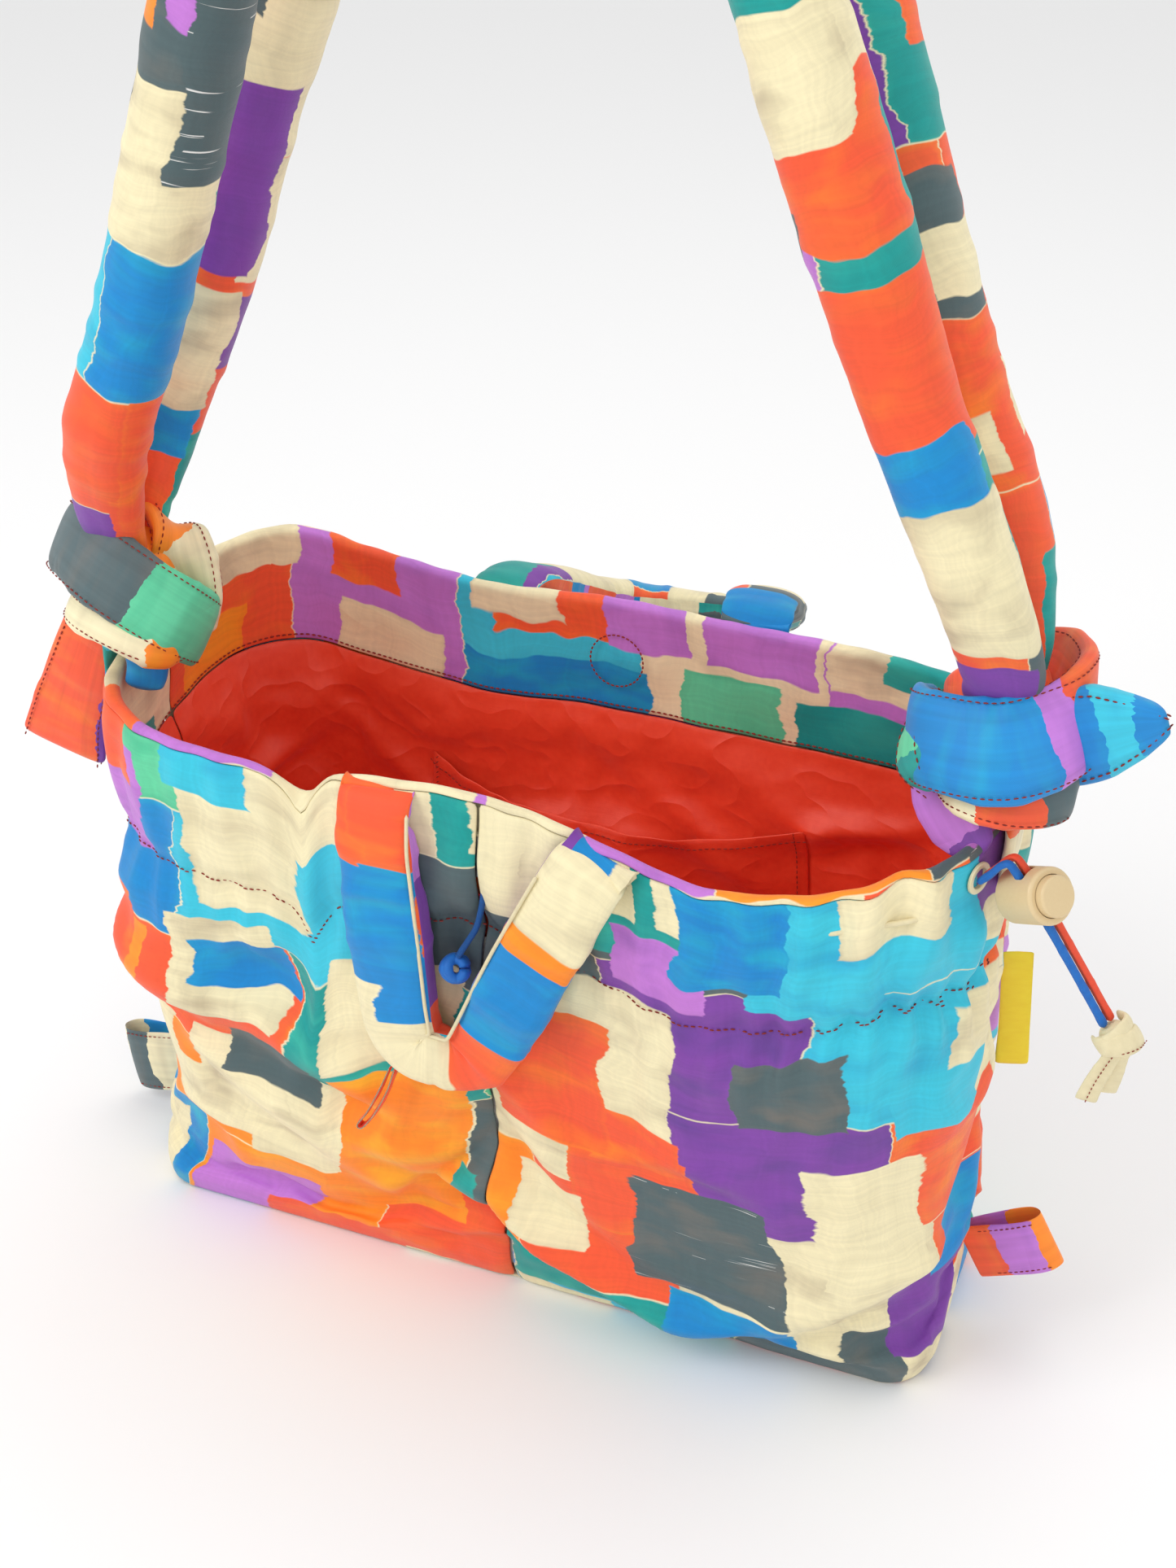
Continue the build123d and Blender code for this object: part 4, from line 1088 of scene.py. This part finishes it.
for k in range(len(rearPath)):
    a, b = np.array(rearPath[max(k - 1, 0)]), np.array(rearPath[min(k + 1, len(rearPath) - 1)])
    rearSide.append(np.cross(unit(b - a), (0, rearFall, rearLevel)))
rearHandle = softBand("rearHandle", rearPath, rearSide, [0.033] + [0.034] * 11 + [0.033],
                      [0.003, 0.006, 0.014] + [0.0195] * 7 + [0.014, 0.006, 0.003], handlePrint, {
                          "steps": 190, "around": 28, "square": 2.4, "endRound": 0.003, "flatEnd": 0.9,
                          "groove": 0.0010, "crease": 0.0028,
                          "wrinkles": [(0.04, 1.3, 0.0014, 71, False), (0.014, 2.6, 0.0009, 73, True)],
                          "uv": (0.3, 0.44)})
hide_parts("rear_handle_cover", "rear_handle_filling")
for piece in (frontHandle, frontPiping):
    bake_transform(piece)
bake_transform(rearHandle)
print("grab handles made")

# knots, tabs and tails
viewRight, viewUp, viewOut = np.array([0.930, 0.368, 0.0]), np.array([-0.190, 0.480,
    0.857]), np.array([0.3153, -0.7966, 0.5158])


def knotPath(centre, steps):   # a path round a knot, in right, up and outward millimetres
    return [np.array(centre) + (p * viewRight + q * viewUp + d * viewOut) / 1000 for p, q, d in steps]


leftCentre, rightCentre = (-0.187, -0.020, 0.306), (0.188, -0.020, 0.313)
knotLook = {"steps": 64, "around": 28, "square": 2.4, "endRound": 0.006,
            "wrinkles": [(0.022, 1.6, 0.0012, 81, False), (0.011, 2.8, 0.0010, 83, True)], "crease": 0.0012}
knotBands = [
    ("leftKnotCore", ("left_knot",), leftCentre, [(-4, 24, -4), (-2, 8, 2), (2, -8, 0), (4, -24, -4)],
     (1, 0.2, 0), [40, 46, 46, 34], [34, 40, 38, 28], leftOverPaint),
    ("leftKnotWrap", (), leftCentre, [(-18, 26, -26), (-30, 24, -8), (-24, 18, 14), (-3, 2, 27),
        (19, -13, 20), (28, -19, 0), (21, -18, -18)],
     (0.25, 0.45, 0.86), [28, 33, 35, 36, 35, 32, 26], [6, 8, 9, 9, 9, 8, 6], leftWrapPaint),
    ("leftKnotUnder", (), leftCentre, [(-26, -2, -10), (-24, -10, 8), (-8, -20, 20), (12, -28, 17),
        (24, -24, 2), (22, -18, -14)],
     (0.25, 0.45, 0.86), [12, 15, 16, 16, 14, 10], [6, 7, 7, 7, 7, 6], leftUnderPaint),
    ("leftKnotOver", (), leftCentre, [(2, 30, 2), (12, 26, 10), (23, 12, 8), (26, -4, 0), (20, -16, -12)],
     (0.6, 0.1, -0.6), [22, 27, 28, 26, 20], [7, 9, 10, 9, 7], leftOverPaint),
    ("rightKnotCore", ("right_knot",), rightCentre, [(-2, 26, -4), (0, 8, 0), (2, -8, 0), (2, -24, -4)],
     (1, 0.2, 0), [36, 44, 46, 32], [34, 38, 38, 28], redPaint),
    ("rightKnotWrap", (), rightCentre, [(-18, 4, -24), (-29, 1, -8), (-26, -4, 12), (-4, -8, 26),
        (19, 0, 22), (29, 12, 8), (26, 24, -10), (14, 30, -22)],
     (-0.15, 0.48, 0.86), [30, 36, 39, 40, 39, 37, 32, 24], [6, 9, 10, 10, 10, 9, 8, 6], rightWrapPaint),
    ("rightKnotUnder", (), rightCentre, [(-20, -18, -10), (-16, -24, 8), (2, -29, 16), (20, -24, 12),
        (27, -12, -4)],
     (0.1, 0.45, 0.86), [12, 15, 17, 22, 20], [6, 7, 7, 7, 6], rightUnderPaint),
    ("rightKnotFold", (), rightCentre, [(-22, 14, -4), (-31, 2, -2), (-33, -12, 2), (-26, -22, 4)],
     (0.5, -0.4, 0.7), [12, 18, 20, 12], [5, 6, 6, 5], mintPaint),
]
for name, stands, centre, steps, side, widths, depths, paint in knotBands:
    band = softBand(name, knotPath(centre, steps), side, [w / 1000 for w in widths],
                    [d / 1000 for d in depths], paint, knotLook)
    dress(band, "print_fabric", "bag", *stands)
    if "Core" not in name:
        stitches(name + "Stitches", edgeLines(knotPath(centre, steps), side, [w / 1000 for w in widths],
            [d / 1000 for d in depths], 0.0026, (1, -1)),
                 "bag", pitch=0.0030, length=0.0021, thread=0.0007)
tails = [
    ("leftTail", "left_tail", [(-0.196, -0.020, 0.300), (-0.207, -0.024, 0.284), (-0.216, -0.026, 0.262),
                               (-0.225, -0.027, 0.240), (-0.231, -0.028, 0.221)],
     (0.93, 0.05, -0.36), [0.024, 0.030, 0.034, 0.038, 0.043], [0.014, 0.012, 0.011, 0.008, 0.0035],
     leftTailPaint),
    ("rightTail", "right_tail", [(0.204, -0.022, 0.316), (0.214, -0.024, 0.319), (0.226, -0.025, 0.324),
                                 (0.238, -0.026, 0.329), (0.248, -0.027, 0.333)],
     (-0.35, 0.10, 0.93), [0.036, 0.040, 0.036, 0.024, 0.010], [0.014, 0.013, 0.010, 0.007, 0.003],
     rightTailPaint),
]
for name, stands, path, side, widths, depths, paint in tails:
    tail = softBand(name, path, side, widths, depths, paint, {
        "steps": 48, "around": 28, "square": 2.2, "endRound": 0.004, "flatEnd": 0.8, "groove": 0.0006,
        "wrinkles": [(0.02, 1.6, 0.0012, 91, False), (0.009, 2.4, 0.0009, 93, True)]})
    dress(tail, "print_fabric", "bag", stands)
    stitches(name + "Stitches", edgeLines(path, side, widths, depths, 0.003, (1, -1)), "bag", pitch=0.0030,
             length=0.0021, thread=0.0008)
tabs = [
    ("leftTab", ("left_tab",), [(-0.1965, -0.020, 0.252), (-0.1975, -0.020, 0.266), (-0.197, -0.021, 0.282),
                                (-0.191, -0.022, 0.294)],
     (0, 1, 0), [0.030, 0.030, 0.027, 0.022], [0.0034, 0.0045, 0.006, 0.008], tabPaint),
    ("leftTabTwist", (), [(-0.1755, -0.040, 0.268), (-0.1745, -0.036, 0.279), (-0.180, -0.030, 0.287),
                          (-0.188, -0.024, 0.292)],
     (0.6, 0.6, 0.5), [0.016, 0.018, 0.018, 0.016], [0.006, 0.008, 0.009, 0.009], tabPaint),
    ("rightTab", ("right_tab",), [(0.1965, -0.020, 0.252), (0.1975, -0.020, 0.266), (0.197, -0.021, 0.282),
        (0.191, -0.022, 0.296)],
     (0, 1, 0), [0.030, 0.030, 0.027, 0.022], [0.0034, 0.0045, 0.006, 0.008], rightUnderPaint),
    ("rightTabFlap", (), [(0.168, -0.030, 0.300), (0.172, -0.034, 0.290), (0.180, -0.038, 0.280),
                          (0.190, -0.042, 0.272)],
     (0.75, 0.2, 0.6), [0.020, 0.026, 0.026, 0.012], [0.003, 0.003, 0.003, 0.003], lilacPaint),
    ("rightTabFold", (), [(0.193, -0.037, 0.303), (0.1955, -0.042, 0.296), (0.195, -0.0435, 0.290),
                          (0.192, -0.0435, 0.286)],
     (0.9, 0.4, 0.1), [0.014, 0.018, 0.016, 0.008], [0.007, 0.008, 0.007, 0.004], redPaint),
]
for name, stands, path, side, widths, depths, paint in tabs:
    tab = softBand(name, path, side, widths, depths, paint, {
        "steps": 36, "around": 24, "square": 2.6, "endRound": 0.003,
        "wrinkles": [(0.012, 1.6, 0.0007, 95, True)]})
    dress(tab, "print_fabric", "bag", *stands)
print("knots, tabs and tails made")

# cords and the lock's end
lock = {"centre": np.array([0.213, -0.048, 0.263]), "pitch": 0.0041, "width": 0.0036, "tail": 0.060}
endDir = unit(np.array([0.5387, 0, -0.8425]))
pressDir = unit(np.array([0.6, -0.5, 0.6]) - endDir * np.dot([0.6, -0.5, 0.6], endDir))
sideDir = np.cross(pressDir, endDir)
strandRoute = np.array([(0.19128, -0.04580, 0.2635), (0.19598, -0.04720, 0.2690), (0.19948, -0.04780, 0.2750),
                        (0.20438, -0.048, 0.27648), (0.24532, -0.048, 0.21245)])


def routeCurve(name, points):   # smooth line through a route's control points
    curve = bpy.data.curves.new(name, "CURVE")
    curve.dimensions = "3D"
    spline = curve.splines.new("NURBS")
    spline.points.add(len(points) - 1)
    for point, spot in zip(spline.points, points):
        point.co = (*spot, 1)
    spline.order_u = 3
    spline.use_endpoint_u = True
    spline.resolution_u = 16
    return curve


def routeLine(points):
    guide = bpy.data.objects.new("route", routeCurve("route", points))
    scene.collection.objects.link(guide)
    made = bpy.data.meshes.new_from_object(guide)
    line = np.array([v.co for v in made.vertices])
    bpy.data.objects.remove(guide)
    return line


for name, side, material in (("front", 1, orangeCloth), ("rear", -1, blueCloth)):
    line = routeLine(strandRoute + sideDir * side * lock["pitch"] / 2)
    strand = softBand(name + "Strand", line[::2] if len(line) % 2
                      else np.concatenate([line[::2], line[-1:]]), sideDir,
                      lock["width"], 0.0030, material,
                      {"steps": 110, "around": 16, "square": 2.2, "endRound": 0.0012, "groove": 0.0005,
                       "wrinkles": [(0.006, 1.0, 0.00018, 101, True)]})
    dress(strand, "cord_fabric", "cord_ends", name + "_strand")

knotSpot = lock["centre"] + endDir * (lock["tail"] + 0.0068)


def aroundKnot(steps):   # points round the end knot: side, press and along, in millimetres
    return [knotSpot + (a * sideDir + b * pressDir + c * endDir) / 1000 for a, b, c in steps]


for name, path, side, widths, depths in (
        ("endKnotCore", aroundKnot([(0, 0, -6.5), (0, 0, -2), (0, 0, 3), (0, 0, 6.5)]), sideDir,
         [0.008, 0.013, 0.013, 0.008], [0.007, 0.010, 0.010, 0.007]),
        ("endKnotWrap", aroundKnot([(-6, -5, -3), (-8, 0, -2), (-5, 5.5, -0.5), (1, 7, 1.5), (7, 4, 3),
            (7.5, -2, 3), (3, -6, 2)]), endDir,
         [0.007, 0.009, 0.0095, 0.0095, 0.009, 0.008, 0.006],
         [0.002, 0.0026, 0.003, 0.003, 0.0028, 0.0024, 0.002]),
        ("endKnotBar", aroundKnot([(7, -2, -6), (6, 4, -4.5), (0, 6.6, -5), (-6, 4, -4), (-7, -2, -3)]),
         endDir,
         [0.005, 0.006, 0.006, 0.006, 0.005], [0.002, 0.0026, 0.0028, 0.0026, 0.002]),
        ("endKnotTailOne", [(0.2505, -0.0485, 0.2045), (0.2475, -0.0495, 0.1960), (0.2440, -0.0510, 0.1865),
                            (0.2415, -0.0520, 0.1770)],
         (0.93, 0.30, -0.2), [0.006, 0.0075, 0.0085, 0.009], [0.002, 0.0022, 0.002, 0.0016]),
        ("endKnotTailTwo", [(0.2525, -0.0480, 0.2040), (0.2510, -0.0470, 0.1950), (0.2495, -0.0465, 0.1860),
                            (0.2480, -0.0460, 0.1785)],
         (0.93, 0.36, 0.1), [0.006, 0.0075, 0.0085, 0.009], [0.002, 0.0022, 0.002, 0.0016])):
    piece = softBand(name, path, side, widths, depths, creamCloth, {
        "steps": 40, "around": 20, "square": 2.4, "endRound": 0.0012,
        "flatEnd": 0.9 if "Tail" in name else 0.3,
        "wrinkles": [(0.005, 1.2, 0.0003, 103, True)]})
    dress(piece, "cream_fabric", "cord_ends")
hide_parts("end_knot")
tailStitch = along([(0.2505, -0.0500, 0.2025), (0.2475, -0.0510, 0.1960), (0.2440, -0.0524, 0.1865),
                    (0.2418, -0.0534, 0.1780)], 20)[0]
wrapStitch = along(aroundKnot([(-7.9, 1.2, 1.6), (-5, 7.2, 2.8), (1.4, 8.7, 4.8), (7.4, 5.8, 6.4)]), 24)[0]
stitches("endKnotStitches", [tailStitch, wrapStitch], "cord_ends", pitch=0.0019,
                          length=0.0014, thread=0.0005)
print("strands and end knot made")

# knot button on its cord, in front of the centre seam
closureRoute = [(0.002, -0.0809, 0.233), (0.001, -0.0832, 0.219), (-0.0035, -0.0862, 0.2105),
                (-0.0073, -0.0875, 0.2034)]
closureCurve = routeCurve("closureCord", closureRoute)
closureCurve.bevel_depth = 0.0013
closureCurve.bevel_resolution = 4
closureCurve.use_fill_caps = True
closureCurve.materials.append(blueCloth)
closureCord = bpy.data.objects.new("closureCord", closureCurve)
scene.collection.objects.link(closureCord)
dress(closureCord, "cord_fabric", "closure", "closure_cord")
buttonSpot = np.array([-0.0085, -0.0875, 0.197])
for k, (u, v) in enumerate((((1, 0, 0.3), (0, 0.5, 1)), ((0.6, 0.2, -0.8), (0.3, 1, 0.4)),
                            ((0.8, 0.6, 0), (-0.3, 0.4, 0.9)))):
    u = unit(np.array(u, float))
    v = unit(np.array(v, float) - u * np.dot(u, np.array(v, float)))
    ring = [buttonSpot + 0.0040 * (u * math.cos(a) * 1.15 + v * math.sin(a))
            for a in np.linspace(0, 2 * math.pi, 11)]
    band = softBand(f"knotButton{k + 1}", ring, np.cross(u, v), 0.0062, 0.0046, blueCloth, {
        "steps": 44, "around": 16, "square": 2.3, "endRound": 0.001,
        "wrinkles": [(0.004, 1.2, 0.0004, 105 + k, True)]})
    dress(band, "cord_fabric", "closure")
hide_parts("knot_button")

# thin loop under the front handle that the button goes through
loopPath = [(-0.0400, -0.0890, 0.1385), (-0.0445, -0.0900, 0.1270), (-0.0510, -0.0905, 0.1130),
            (-0.0560, -0.0905, 0.1050), (-0.0555, -0.0905, 0.1030),
            (-0.0530, -0.0905, 0.1045), (-0.0470, -0.0905, 0.1140), (-0.0410, -0.0900, 0.1270),
            (-0.0375, -0.0890, 0.1385)]
buttonLoop = softBand("buttonLoop", loopPath, (0, 1, 0), 0.0050, 0.0013, liningRed, {
    "steps": 80, "around": 14, "square": 2.6, "endRound": 0.001,
    "wrinkles": [(0.006, 1.0, 0.0003, 111, False)]})
dress(buttonLoop, "cream_fabric", "front_handle", "button_loop")
loopEdge = along([(x, y - 0.0026, z) for x, y, z in loopPath], 60)[0]
stitches("buttonLoopEdge", [loopEdge], "front_handle", pitch=0.0011, length=0.0014, thread=0.0007,
         material=creamCloth)

# drawcord inside the channel, below the rim
cordLine = []
for c in range(2, 4 * quarter - 1, 4):
    if np.linalg.norm(outer[rows - 5, c, :2] - (0.1893, -0.045)) < 0.012:
        continue
    row = min(0.261, rim[c] - 0.012) / rowStep[c]
    low = int(row)
    cordLine.append((outer[low, c] + inner[low, c]) / 2)
split = int(np.argmin([np.linalg.norm(p[:2] - (0.1893, -0.045)) for p in cordLine]))
cordLine = cordLine[split + 1:] + cordLine[:split + 1]
drawCord = softBand("drawCord", cordLine, (0, 0, 1), 0.0022, 0.0022, creamCloth,
                    {"steps": 260, "around": 10, "square": 2.0, "endRound": 0.001, "finer": 0})
dress(drawCord, "cord_fabric", "bag", "drawcord")

# side loops and label
for name, stands, body, sign, root, spread, tilt, paint in (
        ("leftLoop", "left_loop", "left_loop", -1, (-0.1965, 0.0, 0.030), 0.036, -8, leftLoopPaint),
        ("rightLoop", "right_loop", "right_loop", 1, (0.1965, 0.0, 0.039), 0.028, 28, rightLoopPaint)):
    out = np.array([sign * math.cos(math.radians(tilt)), 0, math.sin(math.radians(tilt))])
    up = np.array([-sign * math.sin(math.radians(tilt)), 0, math.cos(math.radians(tilt))])
    flatLoop = [(0.0012, -0.0026), (0.012, -0.0040), (0.026, -0.0052), (0.036, -0.0046), (0.0405, 0.0),
                (0.036, 0.0046), (0.026, 0.0050), (0.012, 0.0040), (0.0012, 0.0026)]
    path = [np.array(root) + out * a + np.array([0, b, 0]) for a, b in flatLoop]
    loop = softBand(name, path, up, spread, 0.0017, paint, {
        "steps": 80, "around": 24, "square": 3.0, "endRound": 0.001, "flatEnd": 1.0,
        "wrinkles": [(0.014, 1.2, 0.0009, 121, False)]})
    dress(loop, "print_fabric", body, stands)
    edges = []
    for level in (spread / 2 - 0.0022, -spread / 2 + 0.0022):
        for face in (flatLoop[1:4], flatLoop[5:8]):
            spots = [np.array(root) + out * a + up * level + np.array([0, b + math.copysign(0.0010, b), 0])
                     for a, b in face]
            edges.append(along(spots, 40)[0])
    stitches(name + "Stitches", edges, body, pitch=0.0026, length=0.0019, thread=0.0006)

label = softBand("sideLabel", [(0.2005, 0.0120, 0.1945), (0.2012, 0.0140, 0.1760), (0.2022, 0.0155, 0.1550),
                               (0.2030, 0.0165, 0.1330)],
                 (0.95, 0.25, 0.02), 0.0135, 0.0011, labelCloth, {
                     "steps": 40, "around": 20, "square": 3.4, "endRound": 0.0006, "flatEnd": 1.0,
                     "wrinkles": [(0.02, 1.0, 0.0006, 131, False)]})
dress(label, "label_fabric", "bag", "side_label")
print("loops and label made")

# carried-over solids
kept = {"eyelet": eyeletEnamel, "eyelet_washer": steelFinish, "lock_body": lockPlastic,
        "lock_plunger": lockPlastic,
        "lock_spring": steelFinish, "base_board": boardFinish}
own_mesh(nodes["lock_spring"])
for name, material in kept.items():
    mesh = nodes[name].data
    if not mesh.materials:
        mesh.materials.append(material)
    for place in nodes[name].material_slots:
        place.link = "OBJECT"
        place.material = material

# floor, light and camera
floorMaterial, _, floorShader = newMaterial("paleFloor")
floorShader.inputs["Base Color"].default_value = tint(242, 242, 242)
floorShader.inputs["Roughness"].default_value = 0.9
floorMesh = bpy.data.meshes.new("floor")
floorMesh.from_pydata([(-20, -20, -0.0004), (20, -20, -0.0004), (20, 20, -0.0004), (-20, 20, -0.0004)], [],
                      [(0, 1, 2, 3)])
floorMesh.materials.append(floorMaterial)
floorPiece = bpy.data.objects.new("floor", floorMesh)
scene.collection.objects.link(floorPiece)

world = bpy.data.worlds.new("studio")
world.use_nodes = True
world.node_tree.nodes["Background"].inputs["Color"].default_value = (1.0, 1.0, 1.0, 1)
world.node_tree.nodes["Background"].inputs["Strength"].default_value = 0.86
scene.world = world
for name, place, size, power, aim in (("keyLight", (-1.1, -1.2, 1.7), 1.0, 15, (0, 0, 0.2)),
                                      ("fillLight", (1.5, -1.0, 1.2), 1.4, 4, (0, 0, 0.2)),
                                      ("topLight", (0.2, 0.6, 2.0), 1.4, 7, (0, 0, 0.1))):
    data = bpy.data.lights.new(name, "AREA")
    data.size, data.energy = size, power
    lamp = bpy.data.objects.new(name, data)
    lamp.location = place
    lamp.rotation_euler = (Vector(aim) - Vector(place)).to_track_quat("-Z", "Y").to_euler()
    scene.collection.objects.link(lamp)
scene.view_settings.view_transform = "Standard"

cameraData = bpy.data.cameras.new("camera")
cameraData.lens = 48.57
cameraData.sensor_width = 36
camera = bpy.data.objects.new("camera", cameraData)
camera.location = (0.2975, -0.7148, 0.7032)
camera.rotation_euler = (Vector((0.0145, 0, 0.2404)) - camera.location).to_track_quat("-Z", "Y").to_euler()
scene.collection.objects.link(camera)
scene.camera = camera
print("stage set")
